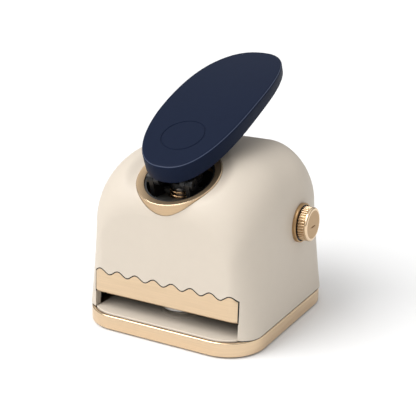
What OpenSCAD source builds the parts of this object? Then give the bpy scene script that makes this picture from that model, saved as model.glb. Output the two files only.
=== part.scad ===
// Desk embossing press: a domed housing on a brass base, a palm lever over a sprung plunger,
// a pair of dies behind the paper slot and a side knob that sets the paper stop.
// Millimetres. The front faces -Y, the knob is on +X, and Z = 0 is the surface it stands on.

/* [Base and deck] */
// Width of the base plate
base_w = 90; // [86:1:96]
// Depth of the base plate
base_d = 92; // [88:1:98]
// Thickness of the base plate
base_t = 6.7; // [6:0.1:9]
// Corner radius of the base plate
base_r = 18.6; // [14:0.2:22]
// Chamfer along the top edge of the base plate
base_chamfer = 0.6; // [0.3:0.1:1]
// Thickness of the rubber sole
sole_t = 2; // [1.6:0.1:3]
// How far the sole stands below the base plate
sole_drop = 0.8; // [0.5:0.1:1.2]
// Margin between the edge of the base plate and the sole
sole_margin = 2; // [1.6:0.1:2.4]
// Thickness of the paper deck
deck_t = 2.2; // [1.8:0.1:3]
// How far the deck stands above the base plate
deck_rise = 0.6; // [0.3:0.1:1]
// Margin between the front edge of the base plate and the deck
deck_lip = 1.9; // [1.2:0.1:3]
// Length of the deck from front to back
deck_d = 58; // [54:1:60]

/* [Housing] */
// Ledge of base plate left at each side of the housing
side_ledge = 0.2; // [0.1:0.1:1.5]
// Ledge of base plate left at the front and back of the housing
end_ledge = 5.2; // [4:0.2:7]
// Height of the crown above the table
shell_h = 82.2; // [80:0.2:88]
// Wall of the housing
shell_wall = 2.6; // [2.2:0.1:3.2]
// Radius of the shoulders, seen from the front
shoulder_r = 26; // [25.6:0.2:30]
// Radius of the shoulders at the flat front and back
end_shoulder_r = 18; // [16:0.5:20]
// Width taken by the rounded vertical edges at the foot
foot_round_w = 10.5; // [8:0.5:13]
// Depth taken by the rounded vertical edges at the foot
foot_round_d = 9.6; // [7:0.2:14]
// Width taken by the rounded edges at the shoulder
side_round_w = 13; // [10:0.5:16]
// Depth taken by the rounded edges at the shoulder
side_round_d = 33; // [28:1:36]
// Height taken by the rounded front of the crown
front_round_h = 25; // [20:0.5:25]
// Depth taken by the rounded front of the crown
front_round_d = 40; // [36:0.5:40]
// Height taken by the rounded back of the crown
back_round_h = 21.5; // [16:0.5:24]
// Depth taken by the rounded back of the crown
back_round_d = 21; // [16:0.5:28]
// Width of the paper slot
slot_w = 75.6; // [70:0.2:77]
// Height of the slot above the base plate
slot_h = 8.3; // [7:0.1:9]
// Height of the fascia from its lower edge to the tips of the scallops
fascia_h = 12; // [11:0.5:15]
// Thickness of the fascia
fascia_t = 1.6; // [1.2:0.1:1.8]
// Number of scallops along the fascia
scallops = 8; // [6:1:10]
// Depth of the valleys between the scallops
scallop_depth = 2.3; // [1.5:0.1:3]

/* [Collar] */
// Outer radius of the brass collar
collar_ro = 19.8; // [19:0.1:20.5]
// Inner radius of the brass collar
collar_ri = 16.3; // [16:0.1:16.8]
// Length of the collar along its axis
collar_len = 11; // [9:0.5:11.5]
// Forward lean of the collar, in degrees
collar_tilt = 27.5; // [25:0.5:29]
// Distance of the collar centre behind the front of the housing
collar_setback = 14.8; // [14:0.2:16]
// Distance of the collar centre below the crown
collar_drop = 7.8; // [7:0.1:9]

/* [Lever] */
// Length of the palm lever
lever_len = 102; // [96:1:108]
// Width of the palm lever
lever_w = 45; // [42:0.5:48]
// Thickness of the lever at its front
lever_t_front = 8.9; // [8.4:0.1:9.2]
// Thickness of the lever at its tail
lever_t_tail = 5.3; // [4:0.1:7]
// How far the ends of the lever bend down from its middle
lever_sag = 3.9; // [2.5:0.1:4]
// Bevel around the top edge of the lever
lever_bevel = 1.5; // [0.8:0.1:2]
// Slope of the lever at rest, in degrees
lever_tilt = 20.3; // [19.5:0.1:24]
// Stroke of the lever, in degrees
lever_stroke = 11; // [8:0.5:11.5]
// Distance of the pivot behind the front tip of the lever
pivot_inset = 5.5; // [5:0.1:6.5]
// Distance of the pivot below the top of the lever
pivot_depth = 15.3; // [15.2:0.1:17]
// Distance from the pivot to the cam dowel
press_arm = 10; // [9:0.2:10.6]
// Radius of the cam dowel
dowel_r = 2.4; // [2:0.1:2.6]
// Radius of the pivot screws
pivot_r = 1.6; // [1.3:0.1:1.8]

/* [Plunger and dies] */
// Radius of the plunger rod
rod_r = 3.5; // [3:0.1:3.7]
// Radius of the dies
die_r = 9.5; // [8:0.5:12]
// Thickness of each die
die_t = 1.6; // [1.4:0.1:1.8]
// Gap left between the dies for the paper at the end of the stroke
paper_gap = 0.48; // [0.45:0.01:0.8]
// Diameter of the spring wire
wire_d = 1.1; // [0.9:0.05:1.15]
// Mean radius of the spring
spring_r = 4.7; // [4.5:0.05:4.75]
// Turns of the spring
spring_turns = 6; // [4:1:6]

/* [Knob and paper stop] */
// Radius of the knob
knob_r = 7.9; // [7:0.1:8.4]
// Length of the knob
knob_len = 4.5; // [4:0.1:6]
// Flutes around the knob
knob_flutes = 36; // [24:1:40]
// Radius of the ring behind the knob
knob_ring_r = 9.2; // [8.6:0.1:10]
// Distance of the knob axis behind the middle of the base
knob_y = 7.3; // [6:0.1:8]
// Height of the knob axis above the table
knob_z = 49.5; // [48.5:0.1:50.5]
// Radius of the knob shaft
shaft_r = 2.5; // [2:0.1:3]
// Teeth on the pinion
pinion_teeth = 16; // [15:1:18]
// Module of the rack and pinion
gear_module = 0.8; // [0.75:0.05:0.8]
// Radius of the guide rod
guide_r = 3; // [2.5:0.1:3.4]

/* [Hidden] */
$fn = 64;

// Clearances
run_gap = 0.3;
fit_gap = 0.04;
seat_gap = 0.02;
inlay_gap = 0.2;
deck_gap = 0.5;
cut = 1;

// Screws: radius of each shank, and the heads
deck_screw_r = 1.5;
shell_screw_r = 1.1;
frame_screw_r = 1.5;
post_screw_r = 1.2;
small_screw_r = 1.2;
fence_screw_r = 1;
grub_r = 0.9;
screw_play = 0.1;
head_t = 1.7;
small_head_r = 2.2;
small_head_t = 1.6;
head_recess = 1.8;

// Heights of the base
base_top = sole_drop + base_t;
deck_top = base_top + deck_rise;
deck_w = slot_w - 0.6;
deck_front = deck_lip - base_d / 2;
deck_back = deck_front + deck_d;
screw_seat = sole_t + 0.1 + head_recess;
deck_screw_x = 28;
deck_screw_y = deck_back - 6;
deck_skin = 0.5;

// Housing
shell_w = base_w - 2 * side_ledge;
shell_d = base_d - 2 * end_ledge;
shell_front = -shell_d / 2;
slot_top = base_top + slot_h;
boss_r = 2.2;
boss_x = shell_w / 2 - shell_wall - boss_r + 0.4;
boss_y = [-14, 20];
boss_h = 12;
shell_screw_len = boss_h - 1;

// Fascia and its scallops
fascia_w = slot_w - 0.4;
fascia_top = slot_top + fascia_h;
scallop_pitch = fascia_w / (scallops - 0.26);
wave_rise = 1.2;

// Collar: a point on its axis at the rim, and the axis itself
collar_y = shell_front + collar_setback;
collar_z = shell_h - collar_drop;
collar_at = [0, collar_y, collar_z];
collar_axis = [0, -sin(collar_tilt), cos(collar_tilt)];
collar_bevel = 0.4;
collar_slope = 0.9;
dish_depth = 0.5;
dish_r = 10;
dish_blend = 2;
liner_wall = 0.9;
liner_top = 1.6;
liner_len = 4.4;

// Lever: the pivot and the cam dowel, as [y, z]
plunger_y = collar_y + 2;
dowel_offset = 2;
pivot = [plunger_y + dowel_offset - press_arm * cos(lever_stroke / 2), collar_z - 1.4];
dowel = [plunger_y + dowel_offset, pivot[1] + press_arm * sin(lever_stroke / 2)];
stroke = 2 * press_arm * sin(lever_stroke / 2);
lever_a = lever_len / 2;
lever_b = lever_w / 2;
lever_power = 2.4;
pivot_local = [pivot_inset - lever_a, -pivot_depth];
lever_at = pivot - [pivot_local[0] * cos(lever_tilt) - pivot_local[1] * sin(lever_tilt),
                    pivot_local[0] * sin(lever_tilt) + pivot_local[1] * cos(lever_tilt)];
dowel_local = lever_local(dowel);
cheek_in = 5.6;
cheek_t = 2.4;
cheek_out = cheek_in + cheek_t;
arm_plate_t = 2.4;
arm_plate_top = -7;
arm_plate_bottom = arm_plate_top - arm_plate_t;
arm_plate_front = pivot_local[0] + 1.5;
rim_clear = 0.6;
rim_reach = sqrt(pow(collar_ri, 2) - pow(cheek_out, 2));
arm_plate_back = pressed_local(collar_point(rim_reach, -collar_slope))[0] - rim_clear;
arm_pocket = [arm_plate_front - 1, arm_plate_back + inlay_gap];
cheek_span = [arm_plate_front + 6, arm_plate_back - 1];
arm_screw_v = [arm_plate_front + 6, arm_plate_back - 4.8];
arm_screw_grip = 2.4;
lug_in = cheek_out + run_gap;
lug_t = 2;
lug_out = lug_in + lug_t;
ear_r = pivot_r + 1.1;
dowel_eye_r = dowel_r + 1.1;
pivot_head_t = 1.4;

// Press frame and the stack along the plunger
frame_half = 12;
yoke_h = 18;
yoke_t = 2.5;
frame_top = pivot[1] - yoke_h;
frame_arm_t = 10;
frame_under = frame_top - frame_arm_t;
frame_front = plunger_y - 10;
web_front = deck_back + 2.1;
web_back = shell_d / 2 - 10.8;
gusset_t = 8;
gusset_leg = 12;
flange_half = 20;
flange_t = 5;
flange_front = deck_back + 1.1;
flange_back = web_back + 3;
frame_screw_x = 16;
tap_depth = 8;
frame_screw_y = [flange_front + 3.5, flange_back - 3.5];
bush_r = rod_r + 2;
bush_flange_r = bush_r + 1.5;
bush_flange_t = 1.5;
cup_floor_t = 1.5;
cup_inner_r = spring_r + wire_d / 2 + 0.6;
cup_outer_r = cup_inner_r + 1.5;
cup_rim_r = 13;
cup_rim_t = 1.5;
cup_lip_r = cup_rim_r - 0.9;
cup_lip_h = 0.6;
cup_top = frame_top + 9.3;
yoke_bore_r = cup_outer_r + 0.1;
yoke_back = plunger_y + 14;
yoke_screw = [6, yoke_back - 2.8];
cap_top = dowel[1] - dowel_r - run_gap;
cap_t = 2.5;
cap_r = 5.2;
cap_chamfer = 0.5;
cap_crown = 1;
cap_under = cap_top - cap_t;
spring_foot = frame_top + cup_floor_t;
clip_t = 1;
clip_mouth = 3.6;
clip_top = frame_under - bush_flange_t - run_gap;
clip_groove_r = rod_r - 0.5;

// Dies: the raised ring of the upper one enters the groove of the lower one, which is flush with the deck
lower_die_top = deck_top;
upper_die_under = lower_die_top + stroke + paper_gap;
upper_die_t = 4;
die_chamfer = 0.8;
upper_die_top = upper_die_under + upper_die_t;
ring_mid_r = die_r * 0.62;
ring_w = 3;
ring_h = 0.4;
groove_w = ring_w + 1;
groove_h = ring_h + 0.1;
holder_r = 8;
holder_t = 6;
set_screw_r = 1.5;
set_screw_z = upper_die_top + 3.4;

// Knob, rack and paper stop
shell_side = shell_w / 2;
knob_ring_t = 1.6;
ring_draft = 0.5;
knob_base = shell_side + knob_ring_t + run_gap;
knob_face = knob_base + knob_len;
knob_chamfer = 0.6;
knob_web = 1.2;
knob_band = 1.5;
flute_r = 0.45;
tick_offset = 1;
tick_w = 0.6;
tick_len = 4;
tick_deep = 0.4;
grub_x = knob_base + 1.7;
knob_bush_r = shaft_r + 2.2;
bush_reach = 2;
knob_bush_in = shell_side - shell_wall - bush_reach;
bearing_len = 10;
bearing_floor = 0.6;
shaft_start = frame_half + bearing_floor + run_gap;
bearing_rise = 4.5;
bearing_screw_y = shaft_r + small_head_r + 2 * screw_play;
bearing_half = bearing_screw_y + small_head_r + 2 * screw_play;
pitch_r = gear_module * pinion_teeth / 2;
pinion_x = [28, 34];
gear_play = 0.25;
pressure_angle = 20;
rack_line = knob_z - pitch_r;
rack_pitch = PI * gear_module;
rack_addendum = 0.8 * gear_module;
rack_root = rack_line - 1.15 * gear_module;
rack_teeth = 11;
rack_bar_t = 4.7;
rack_under = rack_root - rack_bar_t;
carriage_front = 2;
carriage_back = 12.6;
plate_t = 3;
guide_x = pinion_x[0] + 5;
guide_z = base_top + 20.5;
guide_boss_r = guide_r + 2;
guide_front = -10;
post_y = [shell_d / 2 - 18.3, shell_d / 2 - 12.3];
post_half = 5;
post_top = guide_z + guide_r + 3;
post_screw_x = 3;
post_screw_depth = 7.4;
stop_under = deck_top + 0.4;
fence_h = 5.5;
fence_t = 3;
fence_left = -30;
fence_head_r = 1.7;
fence_sink = 1.3;
fence_tap = 5;
foot_x = [pinion_x[0] - 4, pinion_x[1]];
foot_back = 8;
fence_screw_z = stop_under + fence_h / 2;
bumper_y = 0;
bumper_r = 4;
bumper_h = 2.5;
bumper_chamfer = 0.8;
bumper_stem_r = 1.8;

// Colours
brass = "#c9a36a";
cream = "#e6dccf";
navy = "#2a3346";
black = "#1b1b1d";
iron = "#3a3b3e";
steel = "#b4b7bb";
bronze = "#a9793f";
rubber = "#232326";

function mix(a, b, t) = a + (b - a) * t;

// A point [y, z] in the lever's own frame, as [along the lever, above its top plane]
function lever_local(p) = let (d = p - lever_at)
    [d[0] * cos(lever_tilt) + d[1] * sin(lever_tilt), d[1] * cos(lever_tilt) - d[0] * sin(lever_tilt)];

// The same when the lever is fully pressed
function pressed_local(p) = let (d = p - pivot, t = lever_tilt - lever_stroke)
    pivot_local + [d[0] * cos(t) + d[1] * sin(t), d[1] * cos(t) - d[0] * sin(t)];

// A point [y, z] of the collar's middle section, at s behind its axis and h above its rim
function collar_point(s, h) = [collar_y + s * cos(collar_tilt) - h * sin(collar_tilt),
    collar_z + s * sin(collar_tilt) + h * cos(collar_tilt)];

// Rounded plate standing on Z = 0, with a chamfer along its top edge
module chamfered_plate(w, d, r, h, c) {
    for (x = [-1, 1], y = [-1, 1]) translate([x * (w / 2 - r), y * (d / 2 - r), 0]) {
        cylinder(r = r, h = h - c);
        translate([0, 0, h - c]) cylinder(r1 = r, r2 = r - c, h = c);
    }
    translate([r - w / 2, 0, 0]) rotate([90, 0, 90]) linear_extrude(w - 2 * r)
        polygon([[-d / 2, 0], [d / 2, 0], [d / 2, h - c], [d / 2 - c, h], [c - d / 2, h], [-d / 2, h - c]]);
    translate([0, d / 2 - r, 0]) rotate([90, 0, 0]) linear_extrude(d - 2 * r)
        polygon([[-w / 2, 0], [w / 2, 0], [w / 2, h - c], [w / 2 - c, h], [c - w / 2, h], [-w / 2, h - c]]);
}

// Plate with square edges and round corners
module rounded_plate(w, d, r, h) {
    for (x = [-1, 1], y = [-1, 1]) translate([x * (w / 2 - r), y * (d / 2 - r), 0]) cylinder(r = r, h = h);
    translate([-w / 2, r - d / 2, 0]) cube([w, d - 2 * r, h]);
    translate([r - w / 2, -d / 2, 0]) cube([w - 2 * r, d, h]);
}

// Socket screw with the underside of its head on Z = 0 and its shank along +Z
module screw(r, len, head_r, head_h) {
    difference() {
        translate([0, 0, -head_h]) cylinder(r = head_r, h = head_h);
        translate([0, 0, -head_h - cut]) cylinder(r = head_r * 0.55, h = head_h * 0.6 + cut, $fn = 6);
    }
    translate([0, 0, -seat_gap]) cylinder(r = r, h = len + seat_gap);
}

// Half of the housing's outline seen from the front, from the foot to the crown, each station as
// [x, z, depth of the rounding along Y]. The turn is 0 at the full outline and 1 at the flat front or back.
shoulder_pinch = shoulder_r - end_shoulder_r;
function half_arch(inset, turn, crown) =
    let (w = shell_w / 2 - inset,
         h = shell_h - inset - crown[0] * turn,
         r = shoulder_r - inset - shoulder_pinch * turn,
         flat = w - side_round_w * turn - r)
    [for (i = [0:dome_sides - 1])
        let (z = i == 0 ? base_top : mix(slot_top, h - r, (i - 1) / (dome_sides - 1)),
             t = (z - base_top) / (h - r - base_top))
        [w - mix(foot_round_w, side_round_w, t) * turn, z, mix(foot_round_d, side_round_d, t)],
     for (i = [0:dome_arcs]) let (a = 90 * i / dome_arcs, t = i / dome_arcs)
        [flat + r * cos(a), h - r + r * sin(a), mix(side_round_d, crown[1], t * t * (3 - 2 * t))],
     for (i = [1:dome_flats]) [flat * (1 - i / dome_flats), h, crown[1]]];

function full_arch(half) =
    concat(half, [for (i = [len(half) - 2:-1:0]) [-half[i][0], half[i][1], half[i][2]]]);

// Sink a point of the housing so that it meets the collar without standing over it
function dished(p, inset) =
    let (q = p - collar_at,
         h = q * collar_axis,
         radius = norm(q - h * collar_axis),
         over = max(0, radius - collar_ro),
         d = h + dish_depth + inset - over * over / (2 * dish_r),
         sunk = d <= -dish_blend ? 0 : d >= dish_blend ? d : pow(d + dish_blend, 2) / (4 * dish_blend))
    p - sunk * collar_axis;

// Points of the domed housing, inset all over by the given depth, station by station from front to back
dome_sides = 3;
dome_arcs = 9;
dome_flats = 4;
dome_turns = 9;
dome_rows = concat([for (j = [0:dome_turns]) [-1, 90 * (1 - j / dome_turns)]],
    [for (j = [0:dome_turns]) [1, 90 * j / dome_turns]]);
row_count = len(dome_rows);
dome_stations = 2 * (dome_sides + dome_arcs + dome_flats) + 1;
function dome_points(inset) =
    let (front = [front_round_h - inset, front_round_d - inset],
         back = [back_round_h - inset, back_round_d - inset],
         arches = [for (row = dome_rows)
            full_arch(half_arch(inset, 1 - cos(row[1]), row[0] < 0 ? front : back))])
    [for (i = [0:dome_stations - 1], j = [0:row_count - 1])
        let (s = arches[j][i], row = dome_rows[j])
        dished([s[0], row[0] * (shell_d / 2 - inset - s[2] * (1 - sin(row[1]))), s[1]], inset)];
outer_skin = dome_points(0);
inner_skin = dome_points(shell_wall);
last_station = dome_stations - 1;
last_row = row_count - 1;

// The housing stands in butted segments between these stations and rows, with a plate at the front and one
// at the back. The lowest segments end at the top of the paper slot. Where two segments meet, the edge is
// drawn in by the width of the seam.
seam = 0.05;
shoulder_split = dome_sides + 5;
turn_split = 5;
station_splits = [0, 1, dome_sides, shoulder_split, last_station - shoulder_split, last_station - dome_sides,
    last_station - 1, last_station];
row_splits = [0, turn_split, last_row - turn_split, last_row];
function step_in(n, span) = n == span[0] ? 1 : n == span[1] ? -1 : 0;
function towards(p, q) = p == q ? [0, 0, 0] : (q - p) * seam / norm(q - p);
function skin_point(skin, i, j, di, dj) = let (k = i * row_count + j, p = skin[k])
    p + towards(p, skin[k + di * row_count]) + towards(p, skin[k + dj]);
function turned(faces) = [for (f = faces) [for (i = [len(f) - 1:-1:0]) f[i]]];
function moved(faces, by) = [for (f = faces) [for (i = f) i + by]];

// One segment of the wall, with its outer points first
module dome_segment(stations, rows) {
    points = [for (skin = [outer_skin, inner_skin], i = [stations[0]:stations[1]], j = [rows[0]:rows[1]])
        skin_point(skin, i, j, i == 0 || i == last_station ? 0 : step_in(i, stations), step_in(j, rows))];
    m = rows[1] - rows[0] + 1;
    last = stations[1] - stations[0];
    inner = (last + 1) * m;
    skin = [for (i = [0:last - 1], j = [0:m - 2]) let (a = i * m + j, b = a + m)
        each [[a, b + 1, a + 1], [a, b, b + 1]]];
    sides = [for (a = [0:m - 2]) let (b = last * m + a)
        each [[a, a + 1, inner + a + 1], [a, inner + a + 1, inner + a],
              [b + 1, b, inner + b + 1], [b, inner + b, inner + b + 1]]];
    ends = [for (i = [0:last - 1]) let (a = i * m, b = a + m, c = b - 1, d = c + m)
        each [[b, a, inner + b], [a, inner + a, inner + b], [c, d, inner + d], [c, inner + d, inner + c]]];
    polyhedron(points, concat(skin, moved(turned(skin), inner), sides, ends));
}

// Flat plate at the front or back: level strips from side to side, one under the flat of the crown, and a
// rounded piece beside it at each shoulder
crown_start = dome_sides + dome_arcs;
module dome_end(row) {
    points = [for (skin = [outer_skin, inner_skin], i = [0:last_station]) skin[i * row_count + row]];
    face = concat([for (i = [0:dome_sides - 1]) [last_station - i, last_station - i - 1, i + 1, i]],
        [concat([last_station - dome_sides], [for (i = [last_station - crown_start:-1:crown_start]) i],
            [dome_sides])],
        [for (start = [crown_start, last_station - dome_sides]) [for (i = [start:-1:start - dome_arcs]) i]]);
    rim = [for (i = [0:last_station - 1]) let (k = i + dome_stations)
        each [[i, i + 1, k + 1], [i, k + 1, k]]];
    foot = [[last_station, 0, dome_stations, dome_stations + last_station]];
    faces = concat(face, moved(turned(face), dome_stations), rim, foot);
    polyhedron(points, row == 0 ? faces : turned(faces));
}

module dome_wall() {
    for (i = [0:len(station_splits) - 2], j = [0:len(row_splits) - 2])
        dome_segment([station_splits[i], station_splits[i + 1]], [row_splits[j], row_splits[j + 1]]);
    dome_end(0);
    dome_end(last_row);
}

// Depth of the housing's front at a place on it, inset by the given depth: the way up the side and the turn
// of the rounding depend on each other, so the turn is found in a few rounds
function way_up(z, inset, turn) = (z - base_top)
    / (shell_h - shoulder_r - base_top - (front_round_h - inset - shoulder_pinch) * turn);
function front_turn(x, z, inset, turn, rounds) = rounds == 0 ? turn :
    let (r = mix(foot_round_w, side_round_w, way_up(z, inset, turn)))
    front_turn(x, z, inset, 1 - max(0, (abs(x) - shell_w / 2 + inset + r) / r), rounds - 1);
function front_y(x, z, inset) =
    let (turn = front_turn(x, z, inset, 1, 5),
         k = mix(foot_round_d, side_round_d, way_up(z, inset, turn)),
         c = 1 - turn)
    shell_front + inset + k * (1 - sqrt(1 - c * c));

// Plate that follows the housing's front, with a wavy top edge, grown all round and standing proud
wave_points = 8;
function wave_z(x) =
    fascia_top - scallop_depth / 2 * (1 - cos(360 * x / scallop_pitch + 180 * (scallops - 1)));
module fascia_plate(grow, proud, depth) {
    half = fascia_w / 2 + grow;
    steps = scallops * wave_points;
    points = [for (i = [0:steps], level = [0, 1], inset = [0, depth])
        let (x = mix(-half, half, i / steps),
             z = level == 0 ? slot_top - grow : wave_z(x) + wave_rise * grow)
        [x, front_y(x, z, inset) - (inset == 0 ? proud : 0), z]];
    walls = [for (i = [0:steps - 1]) let (a = 4 * i, b = a + 4)
        each [[a, a + 2, b + 2], [a, b + 2, b], [a + 1, b + 3, a + 3], [a + 1, b + 1, b + 3],
              [a, b, b + 1], [a, b + 1, a + 1], [a + 2, b + 3, b + 2], [a + 2, a + 3, b + 3]]];
    last = 4 * steps;
    ends = [[0, 1, 3], [0, 3, 2], [last, last + 3, last + 1], [last, last + 2, last + 3]];
    polyhedron(points, concat(walls, ends));
}

module on_collar() translate(collar_at) rotate([collar_tilt, 0, 0]) children();

module rubber_sole() color(rubber)
    rounded_plate(base_w - 2 * sole_margin, base_d - 2 * sole_margin, base_r - sole_margin, sole_t);

module base_plate() color(brass) difference() {
    translate([0, 0, sole_drop]) chamfered_plate(base_w, base_d, base_r, base_t, base_chamfer);
    translate([0, 0, sole_drop - cut])
        rounded_plate(base_w - 2 * sole_margin + 2 * inlay_gap, base_d - 2 * sole_margin + 2 * inlay_gap,
            base_r - sole_margin + inlay_gap, sole_t - sole_drop + cut);
    deck_shape(deck_gap, deck_top - deck_t, deck_t + cut);
    deck_screw_places() screw_hole(deck_screw_r);
    shell_screw_places() screw_hole(shell_screw_r);
    frame_screw_places() screw_hole(frame_screw_r);
    post_screw_places() screw_hole(post_screw_r);
}

// Deck outline: the front follows the edge of the base plate, the sides and back are square
module deck_shape(grow, z, h) intersection() {
    lip = deck_lip - grow;
    translate([0, 0, z]) rounded_plate(base_w - 2 * lip, base_d - 2 * lip, base_r - lip, h);
    translate([-deck_w / 2 - grow, deck_front - grow, z]) cube([deck_w + 2 * grow, deck_d + 2 * grow, h]);
}

module paper_deck() color(cream) difference() {
    deck_shape(0, deck_top - deck_t, deck_t);
    translate([0, plunger_y, lower_die_top - die_t]) cylinder(r = die_r + inlay_gap, h = die_t + cut);
    deck_screw_places() translate([0, 0, screw_seat])
        cylinder(r = deck_screw_r + seat_gap, h = deck_top - deck_skin - screw_seat);
}

// Counterbored hole up through the base plate for a screw of radius r
module screw_hole(r) {
    translate([0, 0, screw_seat]) cylinder(r = r + 2 * screw_play, h = base_top);
    translate([0, 0, sole_drop - cut]) cylinder(r = 2 * r + inlay_gap, h = screw_seat - sole_drop + cut);
}

// Screw driven up from under the base plate, reaching len above its seat
module base_screw(r, len) translate([0, 0, screw_seat]) screw(r, len, 2 * r, head_t);

module deck_screw_places() for (x = [-1, 1]) translate([x * deck_screw_x, deck_screw_y, 0]) children();
module shell_screw_places() for (x = [-1, 1], y = boss_y) translate([x * boss_x, y, 0]) children();
module frame_screw_places() for (x = [-1, 1], y = frame_screw_y)
    translate([x * frame_screw_x, y, 0]) children();
module post_screw_places() for (x = [-1, 1])
    translate([guide_x + x * post_screw_x, (post_y[0] + post_y[1]) / 2, 0]) children();

module deck_screws() color(steel) deck_screw_places()
    base_screw(deck_screw_r, deck_top - deck_skin - inlay_gap - screw_seat);
module shell_screws() color(steel) shell_screw_places() base_screw(shell_screw_r, shell_screw_len);
module frame_screws() color(steel) frame_screw_places()
    base_screw(frame_screw_r, base_top + flange_t - 2 * deck_skin - screw_seat);
module post_screws() color(steel) post_screw_places()
    base_screw(post_screw_r, base_top + post_screw_depth - screw_seat);

module body_shell() color(cream) difference() {
    union() {
        dome_wall();
        shell_screw_places() translate([0, 0, base_top]) cylinder(r = boss_r, h = boss_h);
    }
    translate([-slot_w / 2, shell_front - cut, base_top - cut])
        cube([slot_w, 3 * shell_wall + cut, slot_h + cut]);
    fascia_plate(inlay_gap, 2 * cut, fascia_t + seat_gap);
    on_collar() translate([0, 0, -collar_ro]) cylinder(r = collar_ro + seat_gap, h = 2 * collar_ro);
    on_knob() translate([0, 0, knob_bush_in])
        cylinder(r = knob_bush_r + seat_gap, h = shell_wall + 2 * bush_reach);
    translate([0, bumper_y, shell_h - 2 * shell_wall])
        cylinder(r = bumper_stem_r + seat_gap, h = 3 * shell_wall);
    shell_screw_places() translate([0, 0, base_top - cut]) cylinder(r = shell_screw_r + seat_gap, h = boss_h);
}

module front_fascia() color(brass) fascia_plate(0, 0, fascia_t);

module collar_ring() color(brass) on_collar() rotate_extrude()
    polygon([[collar_ri, -collar_len], [collar_ro, -collar_len], [collar_ro, -collar_bevel],
        [collar_ro - collar_bevel, 0], [collar_ri, -collar_slope]]);

module well_liner() color(black) on_collar() translate([0, 0, -liner_top - liner_len]) difference() {
    cylinder(r = collar_ri - seat_gap, h = liner_len);
    translate([0, 0, -cut]) cylinder(r = collar_ri - liner_wall, h = liner_len + 2 * cut);
}

// Cup that holds the foot of the spring, with a wide rim cut away round the pivot lugs
module spring_cup() color(black) difference() {
    translate([0, plunger_y, 0]) rotate_extrude() polygon([
        [rod_r + run_gap, frame_top], [cup_outer_r, frame_top], [cup_outer_r, cup_top - cup_rim_t],
        [cup_rim_r, cup_top - cup_rim_t], [cup_rim_r, cup_top + cup_lip_h], [cup_lip_r, cup_top + cup_lip_h],
        [cup_lip_r, cup_top], [cup_inner_r, cup_top], [cup_inner_r, frame_top + cup_floor_t],
        [rod_r + run_gap, frame_top + cup_floor_t]]);
    notch_front = plunger_y - cup_rim_r - cut;
    notch_back = lug_rear(cup_top - cup_rim_t) + run_gap;
    for (x = [-1, 1])
        translate([x * (lug_in + lug_t / 2) - lug_t / 2 - run_gap, notch_front, cup_top - 2 * cup_rim_t])
            cube([lug_t + 2 * run_gap, notch_back - notch_front, 4 * cup_rim_t]);
}

// Path of the spring as rings [centre, angle about the axis, slope of the wire, stretch of the mitre]:
// each end stands straight for one wire diameter, square to its seat
spring_lead = atan((cap_under - spring_foot - 2 * wire_d) / (spring_turns * 2 * PI * spring_r));
mitre = (90 - spring_lead) / 2;
spring_steps = spring_turns * 8;
function on_spring(a, z) = [spring_r * cos(a), spring_r * sin(a), z];
spring_rings = concat(
    [[on_spring(0, spring_foot), 0, 90, 1]],
    [for (i = [0:spring_steps]) let (a = 45 * i, end = i == 0 || i == spring_steps)
        [on_spring(a, mix(spring_foot + wire_d, cap_under - wire_d, i / spring_steps)), a,
         end ? 90 - mitre : spring_lead, end ? 1 / cos(mitre) : 1]],
    [[on_spring(45 * spring_steps, cap_under), 45 * spring_steps, 90, 1]]);
spring_gap = min([for (i = [0:len(spring_rings) - 7], j = [i + 6:len(spring_rings) - 1])
    norm(spring_rings[i][0] - spring_rings[j][0])]) - wire_d;
echo(spring_least_gap = spring_gap);

module return_spring() color(brass) translate([0, plunger_y, 0]) {
    sides = 6;
    count = len(spring_rings);
    points = [for (ring = spring_rings, k = [0:sides - 1])
        let (a = ring[1],
             out = [cos(a), sin(a), 0],
             up = [sin(a) * sin(ring[2]), -cos(a) * sin(ring[2]), cos(ring[2])],
             t = 360 * k / sides)
        ring[0] + wire_d / 2 * (cos(t) * out + ring[3] * sin(t) * up)];
    walls = [for (i = [0:count - 2], k = [0:sides - 1])
        let (a = i * sides + k, b = i * sides + (k + 1) % sides)
        each [[a, a + sides, b + sides], [a, b + sides, b]]];
    foot = [for (k = [1:sides - 2]) [0, k, k + 1]];
    top = [for (k = [1:sides - 2]) let (o = (count - 1) * sides) [o, o + k + 1, o + k]];
    polyhedron(points, concat(walls, foot, top));
}

// C-shaped frame: a flange on the base, a web at the back and an arm over the dies
module press_frame() color(iron) difference() {
    union() {
        translate([-flange_half, flange_front, base_top])
            cube([2 * flange_half, flange_back - flange_front, flange_t]);
        translate([-frame_half, web_front, base_top])
            cube([2 * frame_half, web_back - web_front, frame_top - base_top]);
        translate([-frame_half, frame_front, frame_under])
            cube([2 * frame_half, web_back - frame_front, frame_arm_t]);
        translate([-gusset_t / 2, 0, 0]) rotate([90, 0, 90]) linear_extrude(gusset_t)
            polygon([[web_front, frame_under - gusset_leg], [web_front, frame_under],
                [web_front - gusset_leg, frame_under]]);
    }
    translate([0, plunger_y, frame_under - cut]) cylinder(r = bush_r + seat_gap, h = frame_arm_t + 2 * cut);
    frame_screw_places() translate([0, 0, base_top - cut])
        cylinder(r = frame_screw_r + seat_gap, h = flange_t - deck_skin + cut);
    yoke_screw_places() translate([0, 0, -tap_depth])
        cylinder(r = small_screw_r + seat_gap, h = tap_depth + cut);
    bearing_screw_places() translate([0, 0, -tap_depth])
        cylinder(r = small_screw_r + seat_gap, h = tap_depth + cut);
}

module guide_bush() color(bronze) translate([0, plunger_y, 0]) difference() {
    union() {
        translate([0, 0, frame_under - bush_flange_t]) cylinder(r = bush_flange_r, h = bush_flange_t);
        translate([0, 0, frame_under - bush_flange_t]) cylinder(r = bush_r, h = frame_arm_t + bush_flange_t);
    }
    translate([0, 0, frame_under - bush_flange_t - cut])
        cylinder(r = rod_r + fit_gap, h = frame_arm_t + bush_flange_t + 2 * cut);
}

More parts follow.
